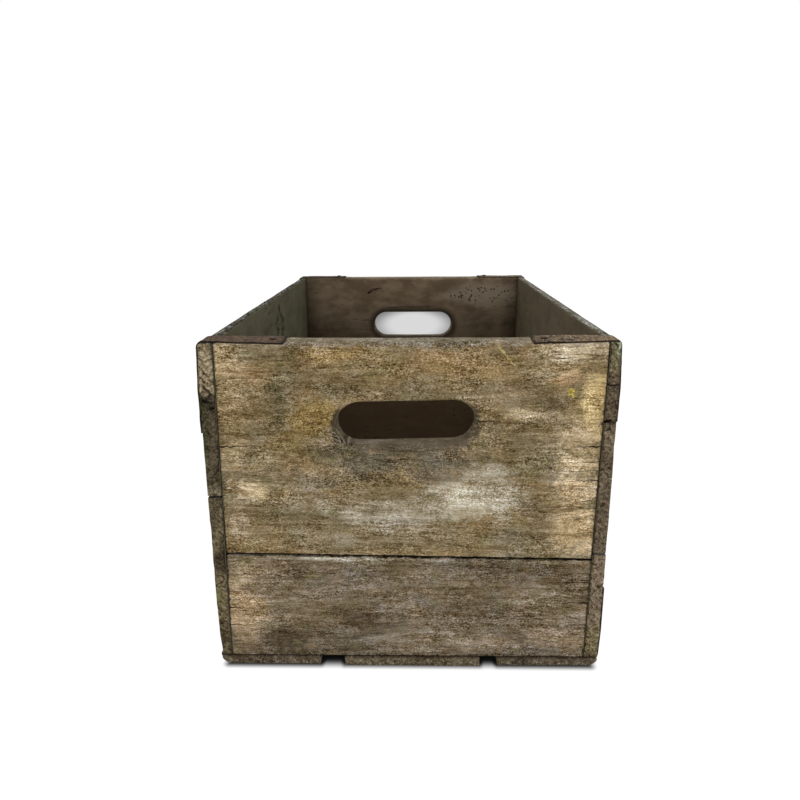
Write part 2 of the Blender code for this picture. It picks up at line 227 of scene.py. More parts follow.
def wood_grain(name, order, pith, seed, pitch=0.0052):
    """The figure of a weathered board as numbers from 0 to 1: fibres, year rings, flecks and checks.
    The order says which axes run along the grain, across the face and through the board, and the pitch
    how far apart the rings are."""
    material, base = open_material(name)
    place = base.add("ShaderNodeTexCoord", None, None, "Object")
    normal = base.add("ShaderNodeTexCoord", None, None, "Normal")
    axes = dict(zip("xyz", split(place)))
    facing = dict(zip("xyz", split(normal)))
    along, across, through = [axes[letter] for letter in order]
    point = join(base, along + seed, across + seed * 0.37, through + seed * 0.61)
    sway = noise(point, (3.0, 9.0), 2.0) - 0.5
    wobble = noise(point, (14.0, 60.0), 2.0) - 0.5
    offset = across - pith[0] + sway * 0.05 + wobble * 0.006
    depth = through - pith[1] + sway * 0.03
    distance = length(offset, depth)
    turn = base.math("FRACT", distance / pitch + noise(point, (6.0, 20.0), 1.0) * 1.5)
    ring = ease(turn, 0.35, 0.86) * ease(turn, 1.0, 0.93)
    drift = sway * 0.03 + wobble * 0.004
    warped = join(base, along + seed, across + seed * 0.37 + drift, through + seed * 0.61)
    crack = noise(warped, (5.0, 85.0), 3.0, 0.6)
    ridge = noise(warped, (14.0, 120.0), 3.0, 0.6)
    return SimpleNamespace(
        material=material,
        base=base,
        point=point,
        axes=axes,
        facing=facing,
        ring=ring,
        fibre=noise(warped, (120.0, 820.0), 3.0, 0.65) - 0.5,
        band=noise(warped, (42.0, 300.0), 3.0, 0.6) - 0.5,
        streak=noise(warped, (9.0, 150.0), 4.0, 0.62) - 0.5,
        mottle=noise(point, (160.0, 230.0), 3.0, 0.65) - 0.5,
        speckle=noise(point, (820.0, 1200.0), 2.0, 0.68) - 0.5,
        rough=ease(noise(point, (32.0, 64.0), 3.0, 0.6), 0.36, 0.64),
        dash=noise(warped, (90.0, 900.0), 2.0, 0.6),
        glint=ease(noise(point, (200.0, 800.0), 2.0, 0.6), 0.62, 0.76),
        line=ease(abs(ridge - 0.5), 0.012, 0.0),
        check=ease(abs(crack - 0.5), 0.006, 0.0) * ease(noise(point, (11.0, 30.0), 2.0), 0.50, 0.62),
        blotch=noise(point, (13.0, 26.0), 4.0, 0.6),
        cloud=noise(point, (30.0, 48.0), 4.0, 0.65),
        hue=noise(point, (60.0, 90.0), 4.0, 0.65),
        end=ease(abs(facing[order[0]]), 0.55, 0.85),
        edge=base.add("ShaderNodeAttribute", {"attribute_name": "edge"}, None, "Fac"),
        stain=base.add("ShaderNodeAttribute", {"attribute_name": "stain"}, None, "Fac"),
    )


def bare_wood(grain, tones, spread=0.12, dark=0.52):
    """The plain colour of weathered wood: grey that goes over to tan, with dark clouds."""
    colour = blend(ease(grain.blotch, 0.5 - spread, 0.5 + spread), tones["grey"], tones["tan"])
    return blend(ease(grain.cloud, dark, 0.70) * 0.7, colour, tones["dark"])


def weather(grain, colour, end_colour, worn_colour, calm=0.0, combed=0.5):
    """Lays the figure, the dirt and the worn edges of old wood over a board's colour and closes its
    material. Where calm is above 0 the figure is fainter, and where combed is, it runs along the grain."""
    base = grain.base
    lively = 1.0 - calm * 0.85
    fine = (
        grain.fibre * (1.2 + combed * 2.8)
        + grain.mottle * (2.0 - combed * 0.4)
        + grain.speckle * (5.8 - combed * 1.4)
    )
    figure = (
        grain.streak * (0.8 + combed * 1.4)
        + grain.band * (0.6 + combed * 2.2)
        + fine * (0.55 + grain.rough * 0.70)
        + (grain.cloud - 0.5) * 2.2
        - grain.ring * 0.12
        + 0.09
    )
    light = (1.0 + figure * lively * 0.5).most(0.3)
    face = blend(ease(grain.hue, 0.54, 0.68) * 0.45 * lively, colour, (104, 98, 62))
    face = blend(ease(grain.hue, 0.46, 0.32) * 0.45 * lively, face, (132, 110, 80))
    face = bleach(face, light)
    dash = ease(grain.dash + combed * 0.09, 0.67, 0.75)
    face = blend((dash * 0.75 + grain.line * combed * 0.3) * lively, face, (40, 31, 22))
    face = blend(grain.glint * 0.4 * lively, face, (198, 186, 160))
    pores = noise(grain.point, 620.0, 2.0, 0.7) - 0.5
    holes = ease(noise(grain.point, 420.0, 2.0, 0.6), 0.61, 0.69)
    end_figure = pores * 4.2 - grain.ring * 0.22 + (grain.cloud - 0.5) * 2.2 + grain.mottle * 2.3 + 0.13
    end_light = (1.0 + end_figure * 0.5).most(0.3)
    ends = bleach(end_colour, end_light, (1.85, 2.0, 2.25))
    ends = blend(holes * 0.75, ends, (24, 19, 14))
    face = blend(grain.end, face, ends)
    rub = ease(grain.edge + (grain.cloud - 0.5) * 1.2 + grain.mottle * 0.8, 0.35, 0.95)
    face = blend(rub * 0.35, face, bleach(worn_colour, light))
    face = blend(grain.stain * (0.55 + grain.mottle), face, (40, 30, 23))
    face = blend(grain.check * 0.85 * (1.0 - grain.end), face, (24, 18, 13))
    height = (
        grain.fibre * 0.8
        + grain.streak * 0.5
        + grain.mottle * 0.3
        + grain.speckle * 0.4
        - grain.ring * 0.18
        - dash * 0.4
        - grain.check * 1.6
    )
    height = height * lively + grain.end * (pores * 1.0 - holes * 0.6)
    bump = base.add("ShaderNodeBump", None, {"Strength": 0.5, "Distance": 0.0009, "Height": height})
    roughness = 0.88 + grain.speckle * 0.2 - rub * 0.12
    surface = {"Base Color": face, "Roughness": roughness, "Normal": bump, "Specular IOR Level": 0.06}
    close_material(base, surface)
    return grain.material


# Crack walls: painted shade, a dark brown for the shade deep in the narrow cut cracks.
crack_shade_wood, base = open_material("crack_shade_wood")
grit = noise(base.add("ShaderNodeTexCoord", None, None, "Object"), 300.0, 3.0, 0.6)
colour = blend(ease(grit, 0.3, 0.7), (16, 12, 8), (42, 32, 23))
close_material(base, {"Base Color": colour, "Roughness": 0.7 + grit * 0.4, "Specular IOR Level": 0.1})


def open_tree(name, **inputs):
    """A Geometry Nodes tree with named inputs of each kind, and the wires that bring them in."""
    tree = bpy.data.node_groups.new(name, "GeometryNodeTree")
    for kind, labels in inputs.items():
        for label in labels:
            tree.interface.new_socket(label, in_out="INPUT", socket_type="NodeSocket" + kind)
    tree.interface.new_socket("Mesh", in_out="OUTPUT", socket_type="NodeSocketGeometry")
    group = tree.nodes.new("NodeGroupInput")
    return Wire(tree), {socket.name: Wire(tree, socket) for socket in group.outputs if socket.name}


def close_tree(mesh, material):
    """Ends a tree with smooth shading, real instances and the material."""
    smooth = mesh.add("GeometryNodeSetShadeSmooth", None, {"Geometry": mesh})
    real = mesh.add("GeometryNodeRealizeInstances", None, {"Geometry": smooth})
    painted = mesh.add("GeometryNodeSetMaterial", None, {"Geometry": real, "Material": material})
    end = mesh.tree.nodes.new("NodeGroupOutput")
    mesh.tree.links.new(painted.socket, end.inputs[0])


def bake(piece):
    """Turns what a piece's modifiers make into its plain mesh."""
    graph = bpy.context.evaluated_depsgraph_get()
    evaluated = piece.evaluated_get(graph)
    made = bpy.data.meshes.new_from_object(evaluated, preserve_all_data_layers=True, depsgraph=graph)
    piece.modifiers.clear()
    piece.data = made
    made.name = piece.name


def grow(tree, name, values, start=None):
    """An object whose plain mesh is what the tree makes of the values."""
    piece = bpy.data.objects.new(name, start or bpy.data.meshes.new(name))
    bpy.context.collection.objects.link(piece)
    modifier = piece.modifiers.new("grow", "NODES")
    modifier.node_group = tree
    keys = {item.name: item.identifier for item in tree.interface.items_tree if item.in_out == "INPUT"}
    for label, value in values.items():
        modifier[keys[label]] = value
    bake(piece)
    piece.data.materials.clear()
    piece.data.materials.append(values["Material"])
    piece.data.polygons.foreach_set("material_index", [0] * len(piece.data.polygons))
    return piece


def edge_wear(seeded):
    """Numbers from 0 to 1 for how far a board's edges are worn, and where chips are gone from them."""
    soft = noise(seeded, 45.0, 3.0, 0.6)
    return soft, ease(noise(seeded, 70.0, 2.0, 0.6), 0.60, 0.74)


# worn_board: a box with its vertices crowded towards the edges, its edges rounded by a radius that noise
# varies and chips deepen, and its faces gently uneven. Slant lifts the top edge at +X and drops it at -X.
base, given = open_tree(
    "worn_board",
    Vector=["Size", "Centre"],
    Int=["Count X", "Count Y", "Count Z"],
    Float=["Edge Radius", "Wear", "Chip", "Sway", "Slant", "Seed"],
    Material=["Material"],
)
cube = base.add("GeometryNodeMeshCube", None, {
    "Size": (2.0, 2.0, 2.0),
    "Vertices X": given["Count X"],
    "Vertices Y": given["Count Y"],
    "Vertices Z": given["Count Z"],
})
corner = base.add("GeometryNodeInputPosition")
reach = vector(base, "ABSOLUTE", corner)
crowd = vector(base, "SUBTRACT", (1.55, 1.55, 1.55), vector(base, "MULTIPLY", reach, (0.55, 0.55, 0.55)))
half = vector(base, "MULTIPLY", given["Size"], (0.5, 0.5, 0.5))
spot = vector(base, "MULTIPLY", vector(base, "MULTIPLY", corner, crowd), half)
world = vector(base, "ADD", spot, given["Centre"])
seeded = vector(base, "ADD", world, given["Seed"])
soft, bite = edge_wear(seeded)
radius = given["Edge Radius"] + soft * given["Wear"] + bite * given["Chip"]
inner = vector(base, "SUBTRACT", half, radius)
outer = vector(base, "MULTIPLY", inner, (-1.0, -1.0, -1.0))
held = vector(base, "MAXIMUM", vector(base, "MINIMUM", spot, inner), outer)
away = vector(base, "NORMALIZE", vector(base, "SUBTRACT", spot, held))
swell = (noise(seeded, 9.0, 3.0, 0.6) - 0.5) * given["Sway"]
rounded = vector(base, "ADD", held, shade(away, radius + swell))
side, _, level = split(vector(base, "DIVIDE", rounded, half))
lift = side * given["Slant"] * ease(level, 0.0, 1.0)
rounded = vector(base, "ADD", rounded, join(base, 0.0, 0.0, lift))
board = base.add("GeometryNodeSetPosition", None, {
    "Geometry": cube,
    "Position": vector(base, "ADD", rounded, given["Centre"]),
})
close_tree(board, given["Material"])
worn_board = base.tree


def grow_plank(node, low, high, counts, wear, seed, material, slant=0.0):
    """A worn board in place of a plain one: how many vertices it has on each axis, and its least edge radius,
    what wear and chips add to that, and how uneven its faces are."""
    radius, worn, chip, sway = wear
    return grow(worn_board, node.replace("board", "plank"), {
        "Size": tuple(high - low),
        "Centre": tuple((low + high) / 2),
        "Count X": counts[0],
        "Count Y": counts[1],
        "Count Z": counts[2],
        "Edge Radius": radius,
        "Wear": worn,
        "Chip": chip,
        "Sway": sway,
        "Slant": slant,
        "Seed": seed,
        "Material": material,
    })


def coordinates(mesh):
    places = np.empty(len(mesh.vertices) * 3)
    mesh.vertices.foreach_get("co", places)
    return places.reshape(-1, 3)


def place(mesh, places):
    mesh.vertices.foreach_set("co", places.ravel())
    mesh.update()


def ramp(values, start, end):
    """0 at start and 1 at end, straight between."""
    return np.clip((values - start) / (end - start), 0.0, 1.0)


def store(mesh, name, values):
    layer = mesh.attributes.new(name, "FLOAT", "POINT")
    layer.data.foreach_set("value", values)


def round_edge(mesh, first, second, radius, wave=0.0):
    """Rounds one long edge. Each of first and second is an axis, a side (1 or -1) and where its face lies."""
    places = coordinates(mesh)
    other = 3 - first[0] - second[0]
    reach = radius * (1.0 + wave * np.sin(places[:, other] * 61.0) * np.sin(places[:, other] * 23.0 + 1.0))
    out = []
    for axis, side, face in (first, second):
        out.append(side * (places[:, axis] - face) + reach)
    distance = np.hypot(out[0], out[1])
    outside = (out[0] > 0) & (out[1] > 0) & (distance > reach)
    for (axis, side, face), away in zip((first, second), out):
        moved = side * (away * reach / np.maximum(distance, 1e-9) - reach) + face
        places[:, axis] = np.where(outside, moved, places[:, axis])
    place(mesh, places)


def mark_edges(mesh, low, high, band=0.006, rim=None):
    """Stores how near each vertex is to a worn edge, 0 to 1, for the material to rub pale."""
    places = coordinates(mesh)
    near = np.zeros(places.shape)
    for axis in range(3):
        inward = np.minimum(places[:, axis] - low[axis], high[axis] - places[:, axis])
        near[:, axis] = ramp(inward, band, 0.0)
    edge = ramp(near.sum(axis=1), 1.0, 2.0)
    if rim is not None:
        edge = np.maximum(edge, ramp(np.abs(rim(places)), band, 0.0) * 0.4)
    store(mesh, "edge", edge)


def nail_heads(*starts):
    """The nails whose names start so: their names, where their heads are and which way these look."""
    names = sorted(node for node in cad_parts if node.startswith(starts))
    heads = []
    aims = []
    for name in names:
        low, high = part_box(name)
        middle = (low + high) / 2
        axis = max(range(3), key=lambda number: high[number] - low[number])
        outward = 1 if middle[axis] > (cad_bounds[0][axis] + cad_bounds[1][axis]) / 2 else -1
        aim = Vector((0.0, 0.0, 0.0))
        aim[axis] = outward
        head = middle.copy()
        head[axis] = high[axis] if outward > 0 else low[axis]
        heads.append(head)
        aims.append(aim)
    return names, heads, aims


def mark_nails(mesh, heads, radius=0.007):
    """Stores how near each vertex is to a nail's head, 0 to 1, for the material to stain with rust."""
    places = coordinates(mesh)
    nearest = np.full(len(places), 1.0)
    for head in heads:
        nearest = np.minimum(nearest, np.linalg.norm(places - np.array(head), axis=1))
    store(mesh, "stain", ramp(nearest, radius, 0.0) ** 1.5)


def split_wood(piece, cracks, seed):
    """Cuts cracks as thin wedges. Each has its points, the way out of the surface, the way across, the width
    at its open end and its depth. It narrows towards its last point."""
    draw = np.random.default_rng(seed)
    corners = []
    faces = []
    for points, out, across, width, depth in cracks:
        points = np.array(points)
        out = np.array(out)
        across = np.array(across)
        first = len(corners)
        for number in range(CRACK_STEPS + 1):
            step = (len(points) - 1.0) * number / CRACK_STEPS
            spot = np.array([np.interp(step, range(len(points)), points[:, axis]) for axis in range(3)])
            share = 1.0 - number / CRACK_STEPS
            spot = spot + across * draw.normal(0.0, width * 0.35)
            half = across * (width * (0.12 + 0.88 * share) * draw.uniform(0.7, 1.2) / 2)
            deep = depth * (0.35 + 0.65 * share)
            flare = 1.0 + CRACK_PROUD / deep
            corners.append(spot + out * CRACK_PROUD - half * flare)
            corners.append(spot + out * CRACK_PROUD + half * flare)
            corners.append(spot - out * deep)
        for number in range(CRACK_STEPS):
            here = first + number * 3
            for one, two in ((0, 1), (1, 2), (2, 0)):
                faces.append((here + one, here + two, here + 3 + two, here + 3 + one))
        faces.append((first + 2, first + 1, first))
        last = len(corners) - 3
        faces.append((last, last + 1, last + 2))
    mesh = bpy.data.meshes.new("crack_cutter")
    mesh.from_pydata([tuple(corner) for corner in corners], [], faces)
    form = bmesh.new()
    form.from_mesh(mesh)
    bmesh.ops.recalc_face_normals(form, faces=form.faces)
    form.to_mesh(mesh)
    form.free()
    # The walls of the cut take the dark crack material, painted shade.
    mesh.materials.append(piece.data.materials[0])
    mesh.materials.append(crack_shade_wood)
    mesh.polygons.foreach_set("material_index", [1] * len(mesh.polygons))
    piece.data.materials.append(crack_shade_wood)
    cutter = bpy.data.objects.new("crack_cutter", mesh)
    bpy.context.collection.objects.link(cutter)
    modifier = piece.modifiers.new("cracks", "BOOLEAN")
    modifier.operation = "DIFFERENCE"
    modifier.solver = "MANIFOLD"
    modifier.object = cutter
    bake(piece)
    bpy.data.objects.remove(cutter)


def settle(mesh):
    """Bulges the outer faces of the sides, lifts the rim towards the rear and presses it down under the
    front straps, as the real crate has warped and worn."""
    places = coordinates(mesh)
    x, y, z = places.T
    outer = ramp(np.abs(x), SIDE_FACE - SIDE_THICKNESS, SIDE_FACE)
    upright = ramp(z, 0.012, 0.032) * ramp(z, 0.264, 0.234)
    bulge = np.where(x < 0.0, -BULGES[-1], BULGES[1]) * outer * upright
    rise = REAR_RISE * ramp(y, -END_FACE, END_FACE) * ramp(z, 0.225, 0.265)
    under = ramp(np.abs(x), 0.150, 0.092) * ramp(np.abs(x), 0.0885, 0.0901)
    under = under * ramp(y, -0.2230, -0.2415) * ramp(z, 0.2565, 0.2625)
    places[:, 0] += bulge
    places[:, 2] += rise - STRAP_SAG * under
    place(mesh, places)


def keep(piece, slot, *nodes):
    settle(piece.data)
    piece.data.set_sharp_from_angle(angle=radians(40))
    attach(piece, "root")
    if nodes:
        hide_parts(*nodes)


def press_notch(mesh, side, face, end, depth):
    """Presses a shallow notch for a strap into the top or foot of a board, near its ends at y = end
    and -end."""
    places = coordinates(mesh)
    reach = end - STRAP_REACH
    near_end = ramp(np.abs(places[:, 1]), reach, reach + 0.0015)
    near_face = ramp(side * (places[:, 2] - face), -0.008, -0.002)
    places[:, 2] -= side * depth * near_end * near_face
    place(mesh, places)


for node, board in BOTTOM_BOARDS.items():
    low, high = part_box(node)
    low.y -= BOTTOM_PROUD
    high.y += BOTTOM_PROUD
    high.z -= BOTTOM_THINNER
    grain = wood_grain(node + "_wood", "yxz", board["pith"], board["seed"])
    colour = bare_wood(grain, BOTTOM_TONES)
    # Painted shade: the thin ledge of the bottom boards' tops in front of the end boards is darkened.
    ledge = ease(abs(grain.axes["y"]), END_FACE - 0.0017, END_FACE - 0.0007)
    colour = blend(ledge * ease(grain.facing["z"], 0.5, 0.8), colour, LEDGE_SHADE_TONE)
    flecks = noise(grain.point, 380.0, 3.0, 0.65)
    ends = blend(ease(flecks, 0.52, 0.64) * 0.7, board["end"], (128, 118, 102))
    ends = blend(ease(flecks, 0.46, 0.34) * 0.7, ends, (44, 36, 28))
    weather(grain, colour, ends, BOTTOM_TONES["worn"], 0.2, 0.8)
    wear = (0.0004, 0.0014, 0.0020, 0.0005)
    piece = grow_plank(node, low, high, (72, 150, 12), wear, board["seed"], grain.material)
    if board["outer"]:
        face = high.x if board["outer"] > 0 else low.x
        round_edge(piece.data, (0, board["outer"], face), (2, -1, low.z), CORNER_RADII[board["outer"]], 0.1)
        press_notch(piece.data, -1, low.z, high.y, FLOOR_NOTCH)
    places = coordinates(piece.data)
    places[:, 2] = np.maximum(places[:, 2], 0.0)
    place(piece.data, places)
    mark_edges(piece.data, low, high)
    cracks = []
    for x, run in board["splits"]:
        points = [(x, low.y - 0.001, low.z), (x + 0.001, low.y + run, low.z)]
        cracks.append((points, (0, 0, -1), (1, 0, 0), 0.0009, high.z - low.z - 0.0012))
    split_wood(piece, cracks, int(board["seed"]))
    mark_nails(piece.data, nail_heads("bottom_nail")[1])
    keep(piece, "bottom_wood", node)


# End boards: each end is a wide board over a narrow one, sawn from 22 mm softwood and butted on a joint
# that slants. The wide one has a hand hole with worn rims, and a rim that hands have rubbed round and grey.
END_LOWER = {
    "front_end_lower_board": {"seed": 21.0, "pith": (-0.02, -0.16), "turn": 1},
    "rear_end_lower_board": {"seed": 26.0, "pith": (0.02, 0.16), "turn": -1},
}
END_UPPER = {
    "front_end_upper_board": {
        "seed": 31.0, "pith": (0.30, -0.20), "turn": 1, "step": 0.0012, "wear": 0.0009, "rim": (58, 51, 41),
        "hole": {
            "x": -0.0026, "z": 0.2058, "length": 0.1032, "height": 0.0340, "tilt": 0.020, "round": 0.0056,
        },
    },
    "rear_end_upper_board": {
        "seed": 36.0, "pith": (0.10, 0.19), "turn": -1, "step": 0.0016, "wear": 0.0002, "rim": (38, 32, 25),
        "hole": {"x": 0.002, "z": 0.2055, "length": 0.1055, "height": 0.034, "tilt": 0.0, "round": 0.0032},
    },
}
END_WIDER = {1: 0.0004, -1: 0.0007}
LEAN = 0.0125
LEAN_FOOT = 0.133
JOINT_GAP = 0.0006
RIM_NOTCH = 0.0002
GRIP_HALF = 0.0885
CORNER_RADIUS = 0.0042
UPPER_TONES = {"grey": (108, 96, 70), "tan": (128, 108, 74), "dark": (80, 69, 48), "worn": (142, 129, 105)}
LOWER_TONES = {"grey": (98, 87, 70), "tan": (114, 99, 76), "dark": (76, 66, 51), "worn": (146, 137, 119)}
INSIDE_TONES = ((108, 94, 76), (82, 69, 54))
GRIP_TONE = (108, 99, 83)
# Near black: grime, and painted shade in the gaps at joints, along some cracks and on the sides' outer faces.
GRIME_AND_SHADE_TONE = (20, 13, 8)
END_GRAIN_TONE = (98, 87, 68)
# A pale scratch on the front: its ends in mm.
SCRATCH = ((63.6, 265.5), (77.8, 247.9))
# Small nail holes on the inside of the rear end: the middle of their patch in mm and half its size.
PRICKS = (96, 246, 44, 13)
# Stains and bleached places on the front: the middle in mm, half the width and height, colour and strength.
FRONT_STAINS = [
    (-51, 258, 24, 6, (146, 120, 74), 0.6),
    (26, 257, 16, 5, (164, 138, 104), 0.7),
    (-111, 244, 14, 9, (142, 114, 78), 0.65),
    (-132, 250, 15, 16, (163, 141, 103), 0.85),
    (-112, 258, 16, 6, (104, 92, 68), 0.65),
    (-95, 217, 9, 25, (82, 73, 48), 0.8),
    (-71, 212, 18, 17, (134, 111, 64), 0.75),
    (-74, 230, 13, 8, (108, 88, 56), 0.8),
    (-88, 190, 15, 12, (122, 102, 62), 0.7),
    (-81, 174, 17, 10, (122, 98, 62), 0.8),
    (-130, 212, 12, 25, (132, 111, 77), 0.8),
    (-112, 199, 11, 8, (106, 94, 66), 0.6),
    (-110, 180, 12, 8, (148, 132, 98), 0.6),
    (-132, 182, 11, 14, (160, 140, 106), 0.7),
    (-113, 152, 22, 9, (186, 164, 126), 0.9),
    (-132, 128, 10, 22, (158, 139, 110), 0.7),
    (-8, 180, 60, 16, (88, 80, 63), 0.9),
    (-50, 238, 24, 10, (104, 88, 60), 0.7),
    (45, 248, 30, 10, (142, 116, 74), 0.6),
    (72, 262, 9, 5, (84, 73, 54), 0.5),
    (124, 258, 28, 10, (184, 166, 134), 0.9),
    (114, 242, 14, 9, (162, 132, 94), 0.8),
    (119, 230, 3.4, 3.0, (182, 164, 66), 0.9),
    (135, 222, 10, 32, (192, 167, 118), 0.9),
    (70, 230, 20, 8, (148, 130, 102), 0.7),
    (105, 220, 11, 9, (90, 78, 58), 0.7),
    (86, 213, 18, 5, (180, 160, 126), 0.85),
    (80, 197, 14, 8, (98, 88, 66), 0.65),
    (62, 202, 10, 5, (130, 122, 102), 0.6),
    (124, 194, 18, 12, (184, 164, 130), 0.85),
    (45, 144, 28, 18, (192, 183, 158), 0.85),
    (70, 152, 22, 12, (172, 162, 140), 0.75),
    (24, 164, 14, 6, (104, 92, 72), 0.7),
    (-5, 134, 66, 12, (168, 158, 136), 0.7),
    (64, 166, 16, 8, (168, 157, 134), 0.65),
    (7, 167, 15, 9, (94, 84, 66), 0.65),
    (-90, 170, 15, 12, (108, 90, 62), 0.55),
    (130, 174, 16, 9, (184, 162, 124), 0.85),
    (-66, 158, 26, 9, (120, 110, 92), 0.55),
    (120, 212, 10, 7, (130, 112, 80), 0.55),
    (-66, 142, 26, 8, (148, 134, 108), 0.6),
    (104, 166, 12, 8, (108, 94, 70), 0.7),
    (126, 152, 17, 14, (200, 176, 138), 1.0),
    (128, 122, 19, 22, (188, 164, 126), 0.95),
    (96, 130, 16, 16, (110, 96, 72), 0.65),
    (-20, 112, 90, 11, (130, 118, 94), 0.6),
    (-88.5, 266, 1.7, 3.0, (30, 23, 18), 0.9),
    (45, 226.5, 15, 1.8, (184, 172, 138), 0.4),
    (-131, 52, 18, 26, (156, 132, 98), 0.85),
    (-133, 82, 11, 11, (154, 136, 106), 0.7),
    (-130, 24, 13, 9, (148, 127, 98), 0.65),
    (-99, 21, 30, 11, (74, 63, 48), 0.8),
    (-36, 38, 19, 9, (80, 66, 50), 0.75),
    (-45, 63, 28, 9, (130, 117, 95), 0.6),
    (-16, 24, 21, 5, (124, 113, 93), 0.65),
    (66, 58, 11, 12, (82, 73, 58), 0.6),
    (34, 36, 30, 12, (128, 114, 93), 0.6),
    (62, 22, 28, 8, (146, 129, 105), 0.8),
    (103, 62, 22, 10, (136, 122, 100), 0.6),
    (120, 25, 24, 9, (142, 122, 97), 0.75),
    (139, 50, 7, 8, (150, 132, 110), 0.65),
    (-81, 52, 14, 8, (128, 114, 90), 0.5),
    (-52, 23, 20, 6, (88, 76, 58), 0.55),
    (-62, 95.2, 52, 1.6, (180, 171, 150), 0.5),
    (20, 94.2, 20, 1.5, (174, 165, 145), 0.4),
]
# Cracks in the front: the points in mm, the width at the first and the depth.
UPPER_CRACKS = [
    ([(-144, 187.5), (-126, 188.0), (-109, 189.2)], 1.1, 6.0),
    ([(49, 207.4), (58, 207.9), (68, 207.5)], 1.3, 7.0),
    ([(144, 188.6), (132, 188.0), (121, 188.2)], 1.2, 5.0),
    ([(144, 176.2), (134, 176.0), (125, 176.3)], 0.8, 6.0),
    ([(144, 161.8), (130, 161.0), (114, 159.8)], 1.0, 4.0),
    ([(144, 138.5), (136, 138.2), (128, 138.6)], 0.8, 4.0),
    ([(144, 118.0), (137, 118.4), (131, 118.1)], 0.7, 4.0),
    ([(-144, 221.0), (-137, 221.4), (-130, 221.0)], 0.7, 4.0),
]
LOWER_CRACKS = [
    ([(144, 57.0), (128, 57.6), (108, 57.2)], 1.1, 6.0),
    ([(144, 38.0), (136, 38.3), (127, 38.1)], 0.7, 4.0),
    ([(144, 76.0), (130, 75.5), (117, 76.2)], 0.8, 4.0),
    ([(144, 28.5), (134, 29.2), (123, 28.6)], 0.8, 4.0),
    ([(-144, 66.5), (-136, 66.2), (-129, 66.4)], 0.7, 4.0),
    ([(-144, 52.0), (-135, 51.4), (-126, 50.4)], 1.0, 4.0),
    ([(-144, 36.5), (-134, 36.0), (-122, 36.6)], 0.8, 4.0),
]
# A gouge in the inside of the rear end, listed in the same way.
REAR_CRACKS = [([(-59, 247.8), (-52, 252.6), (-40, 255.4)], 2.6, 3.0)]
# Dark lines on the inside of the rear end: both ends in mm, half the width and strength. The first two run
# along the gouge, as painted shade in it.
REAR_LINES = [
    (((-60, 247.6), (-51, 252.6)), 1.7, 0.8),
    (((-52, 252.4), (-39, 255.6)), 1.4, 0.8),
    (((-34, 229.0), (28, 230.2)), 1.0, 0.6),
]
# The palest place of the front, where the grain shows less: its middle in mm and half its size.
BLEACHED = (38, 146, 58, 26)
# Marks of a coarse rasp at the hole's lower left: the middle of their patch in mm and half its size.
RASPED = (-45.5, 196.8, 13, 9)


def from_patch(grain, spot, left, height, width, rise):
    """How far a spot on an end is from the middle of a patch: 1 at the patch's edge. The patch is in mm."""
    away = vector(grain.base, "SUBTRACT", spot, (left / 1000, 0.0, height / 1000))
    away = vector(grain.base, "MULTIPLY", away, (1000 / width, 0.0, 1000 / rise))
    return vector(grain.base, "LENGTH", away, output="Value")


def stain_over(grain, spot, colour, stains):
    """Lays stains with ragged edges over a colour."""
    ragged = (noise(grain.point, (34.0, 46.0), 5.0, 0.7) - 0.5) * 3.4 + grain.mottle * 2.2
    for *patch, tone, strength in stains:
        distance = from_patch(grain, spot, *patch)
        colour = blend(ease(distance + ragged, 1.4, 0.3) * strength, colour, tone)
    return colour


